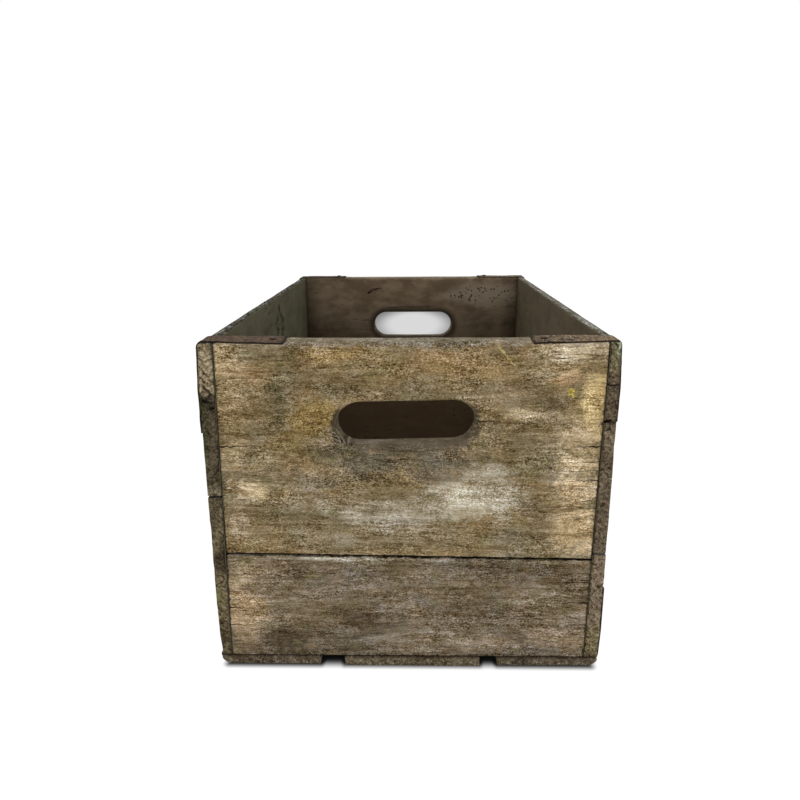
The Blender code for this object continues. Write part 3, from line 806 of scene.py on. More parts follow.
def end_wood(name, board, tones, low, high, joint, stains):
    """An end board's wood, with stains on its outer face and the dull brown of the inside on the other.
    Painted shade darkens the inside's foot and corners, the joints and the hole's walls, and painted light
    brightens the hole's lower lip. The joint is the height of the slanted edge in the middle, and its slope."""
    grain = wood_grain(name, "xzy", board["pith"], board["seed"])
    base = grain.base
    x, z = grain.axes["x"], grain.axes["z"]
    upright = x - (z - LEAN_FOOT) * LEAN if board["turn"] == 1 else x
    spot = join(base, x, 0.0, z)
    colour = stain_over(grain, spot, bare_wood(grain, tones, 0.14), stains)
    inside = ease(grain.axes["y"] * board["turn"], 0.015 - END_FACE, 0.020 - END_FACE)
    hidden = blend(ease(grain.cloud, 0.36, 0.64), *INSIDE_TONES)
    # Painted shade: the inside goes darker towards its foot and into the corners by the side boards. Below
    # the hole it also goes browner.
    corner = ease(abs(x), high.x - 0.024, high.x - 0.001)
    hidden = shade(hidden, 0.80 + ease(z, 0.18, 0.262) * 0.66 - corner * 0.5)
    hidden = blend(ease(z, 0.205, 0.165) * 0.75, hidden, (80, 63, 46))
    colour = blend(inside, colour, hidden)
    calm = inside * 1.08
    worn = blend(inside, tones["worn"], (58, 50, 39))
    if "upper" in name:
        hole = board["hole"]
        beside = (abs(upright - hole["x"]) - (hole["length"] - hole["height"]) / 2).most(0.0)
        climb = z - hole["z"] - (upright - hole["x"]) * hole["tilt"]
        rim = length(beside, climb) - hole["height"] / 2
        # The rim and the walls of the hole go dark grey: rubbed wear on the rim, and painted shade in the
        # walls. The lower lip is painted lighter, as light from above falls on it: painted light.
        rim_wear_and_shade = ease(rim + grain.mottle * hole["round"] * 2.0, hole["round"] * 0.95, hole["round"] * 0.4)
        rim_wear_and_shade = rim_wear_and_shade * ease(climb, 0.0165, 0.0085)
        rim_wear_and_shade = rim_wear_and_shade.most(ease(rim, 0.0006, -0.0006)) * (1.0 - inside)
        lit_sill = shade(board["rim"], 1.0 + ease(climb, -0.008, -0.017) * 1.6)
        colour = blend(rim_wear_and_shade * 0.9, colour, lit_sill)
        halo = ease(rim + (grain.cloud - 0.5) * 0.012, 0.010, 0.001) * inside
        colour = blend(halo * 0.8, colour, (34, 28, 22))
        grip = ease(z + grain.mottle * 0.010, high.z - 0.0048, high.z - 0.0012) * (1.0 - inside)
        grip = grip * ease(abs(x), GRIP_HALF + 0.002, GRIP_HALF - 0.002)
        rubbed = shade(GRIP_TONE, 1.0 + grain.mottle * 1.1 + grain.fibre * 1.2)
        colour = blend(grip * 0.85, colour, rubbed)
        calm = calm.most(rim_wear_and_shade * 0.6)
    if stains and "upper" in name:
        bleached = ease(from_patch(grain, spot, *BLEACHED), 1.3, 0.5) * 0.3
        calm = calm.most(bleached.most(ease(x, 0.100, 0.125) * 0.25))
        colour = stroke(grain, spot, colour, SCRATCH, 1.1, (178, 158, 98), 0.65)
        colour = rasp(grain, spot, colour)
    if not stains and "upper" in name:
        distance = from_patch(grain, spot, *PRICKS) + (grain.cloud - 0.5) * 1.2
        colour = blend(ease(distance, 1.6, 0.4) * inside * 0.75, colour, (142, 130, 112))
        dots = vector(base, "MULTIPLY", spot, (230.0, 0.0, 230.0))
        cell = base.add("ShaderNodeTexVoronoi", None, {"Vector": dots, "Scale": 1.0}, "Distance")
        patch = ease(distance, 1.15, 0.75) * inside
        colour = blend(ease(cell, 0.36, 0.19) * patch * 0.9, colour, GRIME_AND_SHADE_TONE)
        for ends, width, strength in REAR_LINES:
            colour = stroke(grain, spot, colour, ends, width, (28, 22, 16), inside * strength)
    # Painted shade, with some grime: the edges beside the side boards, the slanting joint and the lower
    # board's foot go near black for the gaps there.
    jag = grain.mottle * 0.005 + grain.speckle * 0.004
    edge = ease(abs(upright) + jag, high.x - 0.0011, high.x - 0.0005) * (1.0 - inside)
    seam_shade = ease(abs(z - x * joint[1] - joint[0]) + grain.mottle * 0.003, 0.0011, 0.0004)
    if "lower" in name:
        seam_shade = seam_shade.most(ease(z + jag, low.z + 0.0010, low.z + 0.0002) * (1.0 - inside))
    colour = blend(edge.most(seam_shade), colour, GRIME_AND_SHADE_TONE)
    combed = ease(abs(x), 0.055, 0.125).most(ease(z, 0.175, 0.135) * 0.8)
    return weather(grain, colour, END_GRAIN_TONE, worn, calm, 0.1 + combed * 0.42)


def stroke(grain, spot, colour, ends, width, tone, strength):
    """Draws a fine uneven line over a colour. Its ends, across and up, and its half width are in mm."""
    start = Vector((ends[0][0], 0.0, ends[0][1])) / 1000
    run = Vector((ends[1][0], 0.0, ends[1][1])) / 1000 - start
    ahead = run.normalized()
    from_start = vector(grain.base, "SUBTRACT", spot, tuple(start))
    along = vector(grain.base, "DOT_PRODUCT", from_start, tuple(ahead), "Value")
    beside = vector(grain.base, "DOT_PRODUCT", from_start, (ahead.z, 0.0, -ahead.x), "Value")
    mask = ease(abs(beside + grain.mottle * 0.004), width / 1000, width / 4000)
    mask = mask * ease(along, -0.001, 0.002) * ease(along, run.length + 0.001, run.length - 0.004)
    return blend(mask * strength, colour, tone)


def sawn(grain, spot, stretch):
    """Noise drawn out along lines that fall to the right on the front, as a coarse saw or rasp leaves
    them."""
    along = vector(grain.base, "DOT_PRODUCT", spot, (0.707, 0.0, -0.707), "Value")
    beside = vector(grain.base, "DOT_PRODUCT", spot, (0.707, 0.0, 0.707), "Value")
    return noise(join(grain.base, along, beside, 0.0), stretch, 1.0)


def rasp(grain, spot, colour):
    """Draws the rasp's slanting marks, pale ridges between dark cuts, over the colour of the front."""
    marks = sawn(grain, spot, (260.0, 1250.0, 1.0))
    patch = ease(from_patch(grain, spot, *RASPED) + grain.mottle * 2.0, 1.15, 0.6)
    colour = blend(ease(marks, 0.52, 0.60) * patch * 0.55, colour, (160, 148, 126))
    return blend(ease(marks, 0.48, 0.40) * patch * 0.95, colour, (18, 13, 9))


def front_cracks(cracks, face):
    """The wedges of cracks listed in mm, in a face at y = face that looks to the front."""
    return [
        ([(x / 1000, face, z / 1000) for x, z in points], (0, -1, 0), (0, 0, 1), width / 1000, depth / 1000)
        for points, width, depth in cracks
    ]


def lean(mesh, outer=None):
    """Leans the front of the crate a little to the right towards its top, as the real one stands. A side
    board with its outer face at outer leans on its inner face only."""
    places = coordinates(mesh)
    share = ramp(places[:, 1], -0.12, -0.20)
    if outer is not None:
        share = share * ramp(np.abs(places[:, 0]), outer, outer - SIDE_THICKNESS)
    places[:, 0] += share * LEAN * (places[:, 2] - LEAN_FOOT)
    place(mesh, places)


joint_slants = {}
for node, board in END_LOWER.items():
    low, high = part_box(node)
    low.x -= END_WIDER[board["turn"]]
    high.x += END_WIDER[board["turn"]]
    low.z -= BOTTOM_THINNER
    upper_low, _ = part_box(node.replace("lower", "upper"))
    slant = (high.z - upper_low.z + JOINT_GAP) / 2
    top = high.z - slant
    slant = -board["turn"] * slant
    joint_slants[node.replace("lower", "upper")] = slant
    stains = FRONT_STAINS if board["turn"] == 1 else []
    joint = (top, slant / high.x)
    material = end_wood(node + "_wood", board, LOWER_TONES, low, high, joint, stains)
    crest = Vector((high.x, high.y, top))
    wear = (0.0007, 0.0010, 0.0010, 0.0005)
    piece = grow_plank(node, low, crest, (150, 16, 54), wear, board["seed"], material, slant)
    round_edge(piece.data, (0, -1, low.x), (2, 1, top - slant), CORNER_RADIUS)
    round_edge(piece.data, (0, 1, high.x), (2, -1, low.z), CORNER_RADIUS)
    lean(piece.data)
    mark_edges(piece.data, low - Vector((0.01, 0.0, 0.01)), high + Vector((0.01, 0.0, 0.0)))
    if board["turn"] == 1:
        split_wood(piece, front_cracks(LOWER_CRACKS, low.y), 22)
    keep(piece, "end_wood", node)


# holed_board: a board's outline and its slotted hole as distances in a grid, meshed where they meet zero.
base, given = open_tree(
    "holed_board",
    Vector=["Low", "High", "Hole"],
    Float=[
        "Slant", "Hole Length", "Hole Height", "Hole Tilt", "Rim Radius", "Edge Radius",
        "Grip Radius", "Grip Half", "Notch", "Wear", "Step", "Seed",
    ],
    Material=["Material"],
)
spot = base.add("GeometryNodeInputPosition")
x, y, z = split(spot)
lows = split(given["Low"])
highs = split(given["High"])
low_x, low_y, low_z = lows
high_x, high_y, high_z = highs
seeded = vector(base, "ADD", spot, given["Seed"])
soft, bite = edge_wear(seeded)
foot = low_z + given["Slant"] * (x / high_x)
crown = high_z - ease(abs(x), given["Grip Half"], given["Grip Half"] + 0.0016) * given["Notch"]
middle_z = (crown + foot) * 0.5
grip = ease(abs(x), given["Grip Half"] + 0.002, given["Grip Half"] - 0.010)
grip = grip * ease(z, high_z - 0.014, high_z - 0.010)
radius = given["Edge Radius"] + soft * given["Wear"] + bite * given["Wear"]
radius = radius + grip * (given["Grip Radius"] + (soft - 0.5) * 0.002)
reach = [
    abs(x) - high_x + radius,
    abs(y - (low_y + high_y) * 0.5) - (high_y - low_y) * 0.5 + radius,
    abs(z - middle_z) - (crown - foot) * 0.5 + radius,
]
past = [value.most(0.0) for value in reach]
block = length(*past) + reach[0].most(reach[1]).most(reach[2]).least(0.0) - radius
hole_x, _, hole_z = split(given["Hole"])
end = (abs(x - hole_x) - (given["Hole Length"] - given["Hole Height"]) * 0.5).most(0.0)
rise = z - hole_z - (x - hole_x) * given["Hole Tilt"]
hole = given["Hole Height"] * 0.5 - length(end, rise)
rim = given["Rim Radius"] * (0.6 + soft * 0.8) * (1.0 - ease(rise, 0.004, 0.014) * 0.6)
cut = block.most(hole).least(rim * -1.0) + length((block + rim).most(0.0), (hole + rim).most(0.0))
cut = cut + (noise(seeded, (12.0, 20.0), 3.0, 0.6) - 0.5) * 0.0005
room = given["Step"] * 3.0
counts = [(last - first + room * 2.0) / given["Step"] for first, last in zip(lows, highs)]
grid = base.add("GeometryNodeVolumeCube", None, {
    "Density": 0.5 - cut / (given["Step"] * 6.0),
    "Background": 0.0,
    "Min": vector(base, "SUBTRACT", given["Low"], room),
    "Max": vector(base, "ADD", given["High"], room),
    "Resolution X": counts[0],
    "Resolution Y": counts[1],
    "Resolution Z": counts[2],
})
board = base.add("GeometryNodeVolumeToMesh", None, {"Volume": grid, "Threshold": 0.5, "Adaptivity": 0.0})
close_tree(board, given["Material"])
holed_board = base.tree


for node, board in END_UPPER.items():
    low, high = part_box(node)
    low.x -= END_WIDER[board["turn"]]
    high.x += END_WIDER[board["turn"]]
    slant = joint_slants[node]
    stains = FRONT_STAINS if board["turn"] == 1 else []
    joint = (low.z + abs(slant), slant / high.x)
    material = end_wood(node + "_wood", board, UPPER_TONES, low, high, joint, stains)
    hole = board["hole"]
    piece = grow(holed_board, node.replace("board", "plank"), {
        "Low": (low.x, low.y, low.z + abs(slant)),
        "High": tuple(high),
        "Slant": slant,
        "Hole": (hole["x"], 0.0, hole["z"]),
        "Hole Length": hole["length"],
        "Hole Height": hole["height"],
        "Hole Tilt": hole["tilt"],
        "Rim Radius": hole["round"],
        "Edge Radius": board["wear"] * 0.8,
        "Grip Radius": 0.0036,
        "Grip Half": GRIP_HALF,
        "Notch": RIM_NOTCH,
        "Wear": board["wear"],
        "Step": board["step"],
        "Seed": board["seed"],
        "Material": material,
    })

    def hole_distance(places):
        """How far outside the plain hole each place is."""
        end = np.maximum(np.abs(places[:, 0] - hole["x"]) - (hole["length"] - hole["height"]) / 2, 0.0)
        return np.hypot(end, places[:, 2] - hole["z"]) - hole["height"] / 2

    lean(piece.data)
    beyond = Vector((0.01, 0.0, 0.0))
    mark_edges(piece.data, low - beyond, high + beyond, 0.006, hole_distance)
    if board["turn"] == 1:
        split_wood(piece, front_cracks(UPPER_CRACKS, low.y), 32)
    else:
        split_wood(piece, front_cracks(REAR_CRACKS, low.y), 33)
    keep(piece, "end_wood", node)


# Side boards: two thin planks on each long side, nailed through into the ends' edges. Their sawn ends
# make the rough dark strips beside the front, and their upper outer edges are rounded under the straps.
# The marks on each board's front end are in mm across and up. A band has its height, half its height, colour
# and strength, stains are listed as the front's are, a line has both its ends and half its width, and a crack
# its points, the width at the first and its depth.
SIDE_BOARDS = {
    "left_side_upper_board": {
        "seed": 41.0, "pith": (0.36, -0.29), "end": (70, 61, 46), "fray": 0.0002, "hatch": 0.6,
        "bands": [
            (249, 22, (134, 120, 94), 0.9),
            (221, 6, (46, 42, 30), 0.75),
            (150, 4, (132, 122, 98), 0.5),
        ],
        "stains": [
            (-149.5, 222.5, 3.4, 3.2, (22, 21, 15), 0.9),
            (-146.0, 217.5, 3.0, 2.2, (22, 19, 13), 0.9),
            (-151.5, 204, 3.0, 22, (64, 64, 42), 0.7),
        ],
        "lines": [
            ((-150.4, 247.0), (-145.4, 241.4), 1.0),
            ((-152.0, 242.0), (-147.4, 235.6), 1.1),
            ((-151.2, 236.0), (-143.2, 226.2), 1.3),
        ],
        "cracks": [
            ([(-150.5, 224.5), (-146.5, 221.0)], 2.4, 4.0),
            ([(-143, 218.0), (-149, 216.0)], 1.6, 4.0),
        ],
    },
    "left_side_lower_board": {
        "seed": 46.0, "pith": (-0.08, -0.30), "end": (84, 74, 55), "fray": 0.0005, "hatch": 2.0,
        "bands": [(88, 10, (54, 46, 35), 0.7), (54, 28, (102, 90, 66), 0.7)],
        "stains": [(-151, 60, 3.4, 9, (98, 98, 62), 0.7), (-149, 24, 5, 7, (72, 62, 44), 0.6)],
        "lines": [((-152.5, 41.0), (-145.0, 32.0), 0.6), ((-153.0, 33.0), (-147.0, 25.0), 0.6)],
        "cracks": [([(-153, 70), (-146, 76)], 0.9, 3.0), ([(-153, 34), (-145, 41)], 0.9, 3.0)],
    },
    "right_side_upper_board": {
        "seed": 51.0, "pith": (0.33, 0.27), "end": (88, 76, 60), "fray": 0.0003, "hatch": 0.8,
        "bands": [(256, 11, (104, 97, 70), 0.8), (239, 5, (98, 84, 66), 0.7), (190, 9, (112, 100, 80), 0.6)],
        "stains": [(151.6, 263.5, 2.4, 4.6, (164, 168, 138), 1.0)],
        "lines": [
            ((147.2, 267.4), (150.4, 260.4), 1.4),
            ((150.0, 260.6), (154.4, 260.9), 1.1),
            ((141.5, 203.2), (145.2, 200.0), 1.1),
            ((144.2, 200.3), (148.6, 201.0), 1.1),
            ((147.8, 200.2), (148.4, 206.0), 1.1),
            ((141.5, 235.6), (146.2, 234.6), 1.3),
            ((145.2, 234.6), (154.5, 235.6), 1.1),
            ((141.5, 207.8), (151.0, 207.9), 1.5),
        ],
        "cracks": [
            ([(142.0, 207.8), (152.5, 207.9)], 2.3, 6.0),
            ([(142.0, 235.5), (145.7, 234.7), (158, 235.6)], 1.5, 6.0),
            ([(154, 161), (147, 167)], 1.3, 5.0),
        ],
    },
    "right_side_lower_board": {
        "seed": 56.0, "pith": (0.20, 0.30), "end": (104, 91, 72), "fray": 0.0006, "hatch": 1.0,
        "bands": [(88, 12, (120, 104, 86), 0.7), (22, 14, (104, 94, 66), 0.8)],
        "stains": [],
        "lines": [],
        "cracks": [([(154, 61), (147, 66)], 0.9, 3.0), ([(154, 30), (146, 38)], 0.9, 3.0)],
    },
}
SIDE_TOP_RADII = {-1: 0.0042, 1: 0.0029}
SIDE_TONES = {"grey": (112, 101, 82), "tan": (134, 114, 84), "dark": (78, 68, 53), "worn": (56, 48, 38)}
DAMP_TONE = (71, 64, 50)
INNER_TONES = {-1: (97, 94, 75), 1: (97, 87, 68)}
TOP_TONES = {-1: (44, 41, 35), 1: (98, 95, 84)}


def fray(mesh, side, face, end, depth, seed):
    """Wears hollows that run along the grain into the outer face of a board, near both of its ends."""
    draw = np.random.default_rng(seed)
    places = coordinates(mesh)
    wave = np.zeros(len(places))
    for pitch, share in ((0.083, 0.6), (0.037, 0.4), (0.017, 0.25), (0.009, 0.12)):
        wave += np.sin(places[:, 2] * 2 * np.pi / pitch + draw.uniform(0.0, 6.28)) * share
    hollow = np.clip(wave * 0.7 + 0.3, 0.0, 1.0)
    near_end = ramp(np.abs(places[:, 1]), end - 0.05, end - 0.005)
    near_face = ramp(side * (places[:, 0] - face), -0.006, 0.0)
    places[:, 0] -= side * depth * hollow * near_end * near_face
    place(mesh, places)


for node, board in SIDE_BOARDS.items():
    low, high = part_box(node)
    if "lower" in node:
        low.z -= BOTTOM_THINNER
    side = -1 if "left" in node else 1
    grain = wood_grain(node + "_wood", "yzx", board["pith"], board["seed"], 0.0046)
    x, y, z = [grain.axes[letter] for letter in "xyz"]
    colour = bare_wood(grain, SIDE_TONES, 0.12, 0.54)
    outer_face = max(abs(low.x), abs(high.x))
    inside = ease(x * side, outer_face - 0.004, outer_face - 0.007)
    hidden = blend(ease(grain.cloud, 0.34, 0.78) * 0.8, INNER_TONES[side], DAMP_TONE)
    # Painted shade: the inner face goes darker towards the rear end and into the far corner.
    hidden = shade(hidden, 1.08 - ease(y, -0.10, 0.20) * 0.18 - ease(y, 0.205, 0.219) * 0.4)
    aside = abs(y - 0.046 + grain.mottle * 0.04 + grain.blotch * 0.04)
    loop = ease(z, 0.190, 0.222) * ease(z, 0.262, 0.236)
    knot = ease(abs(aside - loop * 0.013), 0.006, 0.001) * ease(z, 0.190, 0.205) * ease(z, 0.264, 0.256)
    hidden = blend(knot * (0.75 if side < 0 else 0.0), hidden, (26, 23, 17))
    colour = blend(inside, colour, hidden)
    top = ease(grain.facing["z"], 0.5, 0.8)
    colour = blend(top, colour, TOP_TONES[side])
    dots = noise(grain.point, (130.0, 420.0, 640.0), 2.0, 0.6)
    colour = blend(ease(dots, 0.53, 0.63) * top * 0.6, colour, (152, 149, 136))
    colour = blend(ease(dots, 0.46, 0.37) * top * 0.8, colour, (38, 35, 29))
    # Painted shade along both rounded edges of the top.
    brink_shade = ease(abs(abs(x) - outer_face + 0.0048), 0.0030, 0.0042) * top
    colour = blend(brink_shade * 0.75, colour, (32, 29, 24))
    ends = board["end"]
    ragged = (grain.cloud - 0.5) * 0.030 + grain.mottle * 0.010
    for height, reach, tone, strength in board["bands"]:
        band = ease(abs(z + ragged - height / 1000), reach / 1000 + 0.004, reach / 1000 - 0.003)
        ends = blend(band * strength, ends, tone)
    spot = join(grain.base, x, 0.0, z)
    hatch = sawn(grain, spot, (90.0, 470.0, 1.0)) - 0.5
    ends = shade(ends, 1.0 + hatch * board["hatch"])
    ends = stain_over(grain, spot, ends, board["stains"])
    # Dark lines: marks, and along some cracks painted shade in them.
    for start, finish, width in board["lines"]:
        ends = stroke(grain, spot, ends, (start, finish), width, GRIME_AND_SHADE_TONE, 0.85)
    # Painted shade: the inner edge of each end strip goes near black for the gap to the end board, and the
    # outer face near black along the front end, as the sides fall into shade, more on the left.
    upright = x - (z - LEAN_FOOT) * LEAN * ease(y, 0.0, -0.2)
    jag = grain.mottle * 0.004 + grain.speckle * 0.003
    seam_shade = ease(abs(upright) + jag, outer_face - 0.0087, outer_face - 0.0092)
    ends = blend(seam_shade, ends, GRIME_AND_SHADE_TONE)
    bulge = ease(z, 0.264, 0.234) * BULGES[side]
    outline = ease(abs(x) - bulge + jag, outer_face - 0.0014, outer_face - 0.0005)
    outline = outline * ease(z, 0.196, 0.210)
    ends = blend(outline * (0.9 if side < 0 else 0.5), ends, GRIME_AND_SHADE_TONE)
    weather(grain, colour, ends, SIDE_TONES["worn"], inside * (1.0 - top) * 1.08)
    wear = (0.0004, 0.0014, 0.0022, 0.0006)
    piece = grow_plank(node, low, high, (14, 150, 130), wear, board["seed"], grain.material)
    if "upper" in node:
        round_edge(piece.data, (0, side, side * outer_face), (2, 1, high.z), SIDE_TOP_RADII[side], 0.1)
        press_notch(piece.data, 1, high.z, high.y, RIM_NOTCH)
    else:
        round_edge(piece.data, (0, side, side * outer_face), (2, -1, 0.0), CORNER_RADII[side], 0.1)
    fray(piece.data, side, side * outer_face, high.y, board["fray"], int(board["seed"]))
    lean(piece.data, outer_face)
    mark_edges(piece.data, low - Vector((0.01, 0.0, 0.0)), high + Vector((0.01, 0.0, 0.0)), 0.004)
    split_wood(piece, front_cracks(board["cracks"], low.y), int(board["seed"]))
    mark_nails(piece.data, nail_heads("side_nail", "strap_nail")[1])
    keep(piece, "side_wood", node)


# Corner straps: flat steel bands bent over the upper corners, from the ends' rims down the outside of the
# side boards, and round the lower corners under the floor. They have rusted brown all over, and go black
# along their cut edges, partly as rusted steel and partly as painted shade, with painted shade at their inner
# ends.
# They lie in shallow notches. The one at the lower left of the front has lost its upper leg.
STRAP_WIDTH = 0.0195
STRAP_THICKNESS = 0.0011
STRAP_BENDS = {-1: 0.0047, 1: 0.0030}
# Each corner: how deep the strap is sunk, how much longer than in the CAD it is, and how high the lower band
# reaches.
STRAPS = {
    "left_front": {"sunk": 0.0003, "longer": 0.009, "lower_top": 0.009},
    "right_front": {"sunk": 0.0005, "longer": 0.0, "lower_top": 0.070},
    "left_rear": {"sunk": 0.0003, "longer": 0.0, "lower_top": 0.064},
    "right_rear": {"sunk": 0.0003, "longer": 0.0, "lower_top": 0.064},
}
LOWER_LEG = 0.060
metal, base = open_material("strap_rust")
place_on = base.add("ShaderNodeTexCoord", None, None, "Object")
x, _, _ = split(place_on)
_, facing_y, _ = split(base.add("ShaderNodeTexCoord", None, None, "Normal"))
scale = noise(place_on, (240.0, 110.0, 240.0), 5.0, 0.7)
patch = noise(place_on, 42.0, 4.0, 0.65)
grit = noise(place_on, (600.0, 240.0, 600.0), 2.0, 0.7)
colour = blend(ease(patch, 0.36, 0.62), (60, 50, 38), (92, 77, 58))
colour = blend(ease(scale, 0.50, 0.64) * 0.8, colour, (104, 82, 60))
colour = blend(ease(scale, 0.47, 0.33) * 0.85, colour, (36, 29, 22))
colour = blend(ease(grit, 0.53, 0.63) * 0.7, colour, (142, 124, 96))
colour = blend(ease(grit, 0.46, 0.36) * 0.8, colour, (28, 21, 16))
colour = shade(colour, 0.68 + ease(x, -0.09, 0.09) * 0.55)
colour = blend(ease(x, 0.05, -0.05) * 0.4, colour, (78, 56, 38))
# Painted shade at the inner ends, for the gap between each strap's end and its notch.
inner_end_shade = ease(abs(x) + (scale - 0.5) * 0.012, 0.0940, 0.0905)
colour = blend(inner_end_shade * 0.85, colour, (24, 18, 14))
# Near black along the front and back edges: rusted cut steel, and painted shade for the gap under them.
edge_shade = ease(abs(facing_y), 0.3, 0.6)
colour = blend(edge_shade * 0.9, colour, (28, 19, 13))
bump = base.add("ShaderNodeBump", None, {"Strength": 0.7, "Distance": 0.0004, "Height": scale + grit * 0.4})
close_material(base, {
    "Base Color": colour,
    "Roughness": 0.78 + grit * 0.2,
    "Metallic": ease(patch, 0.62, 0.40) * 0.12,
    "Normal": bump,
    "Specular IOR Level": 0.2,
})

# bent_strap: a flat section run along a path with rounded bends, with edges that waver.
base, given = open_tree(
    "bent_strap",
    Geometry=["Path"],
    Float=["Width", "Thickness", "Bend", "Wave", "Seed"],
    Material=["Material"],
)
path = base.add("GeometryNodeMeshToCurve", None, {"Mesh": given["Path"]})
path = base.add("GeometryNodeFilletCurve", {"mode": "POLY"}, {
    "Curve": path,
    "Count": 10,
    "Radius": given["Bend"],
    "Limit Radius": True,
})
path = base.add("GeometryNodeResampleCurve", {"mode": "LENGTH"}, {"Curve": path, "Length": 0.0012})
section = base.add("GeometryNodeCurvePrimitiveQuadrilateral", None, {
    "Width": given["Width"],
    "Height": given["Thickness"],
})
section = base.add("GeometryNodeSubdivideCurve", None, {"Curve": section, "Cuts": 9})
strap = base.add("GeometryNodeCurveToMesh", None, {
    "Curve": path,
    "Profile Curve": section,
    "Fill Caps": True,
})
spot = base.add("GeometryNodeInputPosition")
seeded = vector(base, "ADD", spot, given["Seed"])
drift = join(
    base,
    noise(seeded, 60.0, 2.0) - 0.5,
    noise(seeded, (120.0, 60.0, 120.0), 4.0, 0.65) - 0.5,
    noise(vector(base, "ADD", seeded, (3.0, 3.0, 3.0)), 60.0, 2.0) - 0.5,
)
strap = base.add("GeometryNodeSetPosition", None, {
    "Geometry": strap,
    "Offset": shade(drift, given["Wave"]),
})
close_tree(strap, given["Material"])
bent_strap = base.tree

lower_heads = []
for number, (corner, strap) in enumerate(STRAPS.items()):
    node = corner + "_corner_strap"
    low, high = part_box(node)
    middle = (low.y + high.y) / 2
    side = -1 if "left" in corner else 1
    outer = (low.x if side < 0 else high.x) - side * (STRAP_THICKNESS / 2 + strap["sunk"])
    inner = high.x if side < 0 else low.x
    lower_inner = outer - side * LOWER_LEG
    top = high.z - STRAP_THICKNESS / 2 - RIM_NOTCH
    foot = STRAP_THICKNESS / 2 + 0.0001
    lower_top = strap["lower_top"]
    routes = {
        corner + "_corner_band": [(inner, top), (outer, top), (outer, low.z - strap["longer"])],
        corner + "_lower_band": [(lower_inner, foot), (outer, foot), (outer, lower_top)],
    }
    for name, route in routes.items():
        start = bpy.data.meshes.new("strap_path")
        start.from_pydata([(x, middle, z) for x, z in route], [(0, 1), (1, 2)], [])
        piece = grow(bent_strap, name, {
            "Width": STRAP_WIDTH,
            "Thickness": STRAP_THICKNESS,
            "Bend": STRAP_BENDS[side] if "corner" in name else CORNER_RADII[side],
            "Wave": 0.0014 if "corner" in name else 0.0,
            "Seed": 61.0 + number,
            "Material": metal,
        }, start)
        keep(piece, "strap_steel", *([node] if "corner" in name else []))
    if lower_top > 0.04:
        head = Vector((outer + side * STRAP_THICKNESS, middle, lower_top - 0.012))
        lower_heads.append((head, Vector((side, 0.0, 0.0))))


# Nails: flat-headed wire nails, driven flush through the side and bottom boards into the ends, and shorter
# ones through the straps. Their heads have rusted dark.
NAIL_HEAD_RADIUS = 0.0027
NAIL_SHANK_RADIUS = 0.0012
rust, base = open_material("nail_rust")
place_on = base.add("ShaderNodeTexCoord", None, None, "Object")
scale = noise(place_on, 700.0, 4.0, 0.7)
patch = noise(place_on, 9.0, 2.0)
colour = blend(ease(scale, 0.35, 0.65), (48, 38, 31), (92, 64, 44))
colour = blend(ease(patch, 0.45, 0.60) * 0.6, colour, (62, 56, 50))
bump = base.add("ShaderNodeBump", None, {"Strength": 0.6, "Distance": 0.0003, "Height": scale})
close_material(base, {
    "Base Color": colour,
    "Roughness": 0.55 + scale * 0.35,
    "Metallic": ease(scale, 0.55, 0.40) * 0.4,
    "Normal": bump,
})


def lifted(part, lift):
    """A part of a nail moved up along the nail."""
    shift = join(part, 0.0, 0.0, lift)
    return part.add("GeometryNodeTransform", None, {"Geometry": part, "Translation": shift})


# driven_nails: a nail with a flat head, its shank and its tip, put on each point to look along its aim.
base, given = open_tree(
    "driven_nails",
    Geometry=["Places"],
    Float=["Length", "Head Radius", "Shank Radius", "Proud"],
    Int=["Seed"],
    Material=["Material"],
)
crown = base.add("GeometryNodeMeshCone", None, {
    "Vertices": 20,
    "Fill Segments": 2,
    "Radius Top": given["Head Radius"] * 0.72,
    "Radius Bottom": given["Head Radius"],
    "Depth": 0.0003,
})
plate = base.add("GeometryNodeMeshCylinder", None, {
    "Vertices": 20,
    "Radius": given["Head Radius"],
    "Depth": 0.0006,
})
shank = base.add("GeometryNodeMeshCylinder", None, {
    "Vertices": 12,
    "Side Segments": 6,
    "Radius": given["Shank Radius"],
    "Depth": given["Length"] - 0.004,
})
tip = base.add("GeometryNodeMeshCone", None, {
    "Vertices": 12,
    "Radius Top": given["Shank Radius"],
    "Radius Bottom": 0.0001,
    "Depth": 0.004,
})
joined = base.tree.nodes.new("GeometryNodeJoinGeometry")
for part in (
    lifted(crown, given["Proud"] - 0.0003),
    lifted(plate, given["Proud"] - 0.0006),
    lifted(shank, given["Length"] * -0.5 + 0.002),
    lifted(tip, given["Length"] * -1.0),
):
    base.tree.links.new(part.socket, joined.inputs[0])
nail = Wire(base.tree, joined.outputs[0])
aim = base.add("GeometryNodeInputNamedAttribute", {"data_type": "FLOAT_VECTOR"}, {"Name": "aim"}, "Attribute")
tilt = base.add("FunctionNodeRandomValue", {"data_type": "FLOAT_VECTOR"}, {
    "Min": (-0.05, -0.05, -0.05),
    "Max": (0.05, 0.05, 0.05),
    "Seed": given["Seed"],
}, "Value")
aim = vector(base, "ADD", aim, tilt)
turn = base.add("FunctionNodeAlignRotationToVector", {"axis": "Z"}, {"Vector": aim})
nails = base.add("GeometryNodeInstanceOnPoints", None, {
    "Points": base.add("GeometryNodeMeshToPoints", None, {"Mesh": given["Places"]}),
    "Instance": nail,
    "Rotation": turn,
})
close_tree(nails, given["Material"])
driven_nails = base.tree

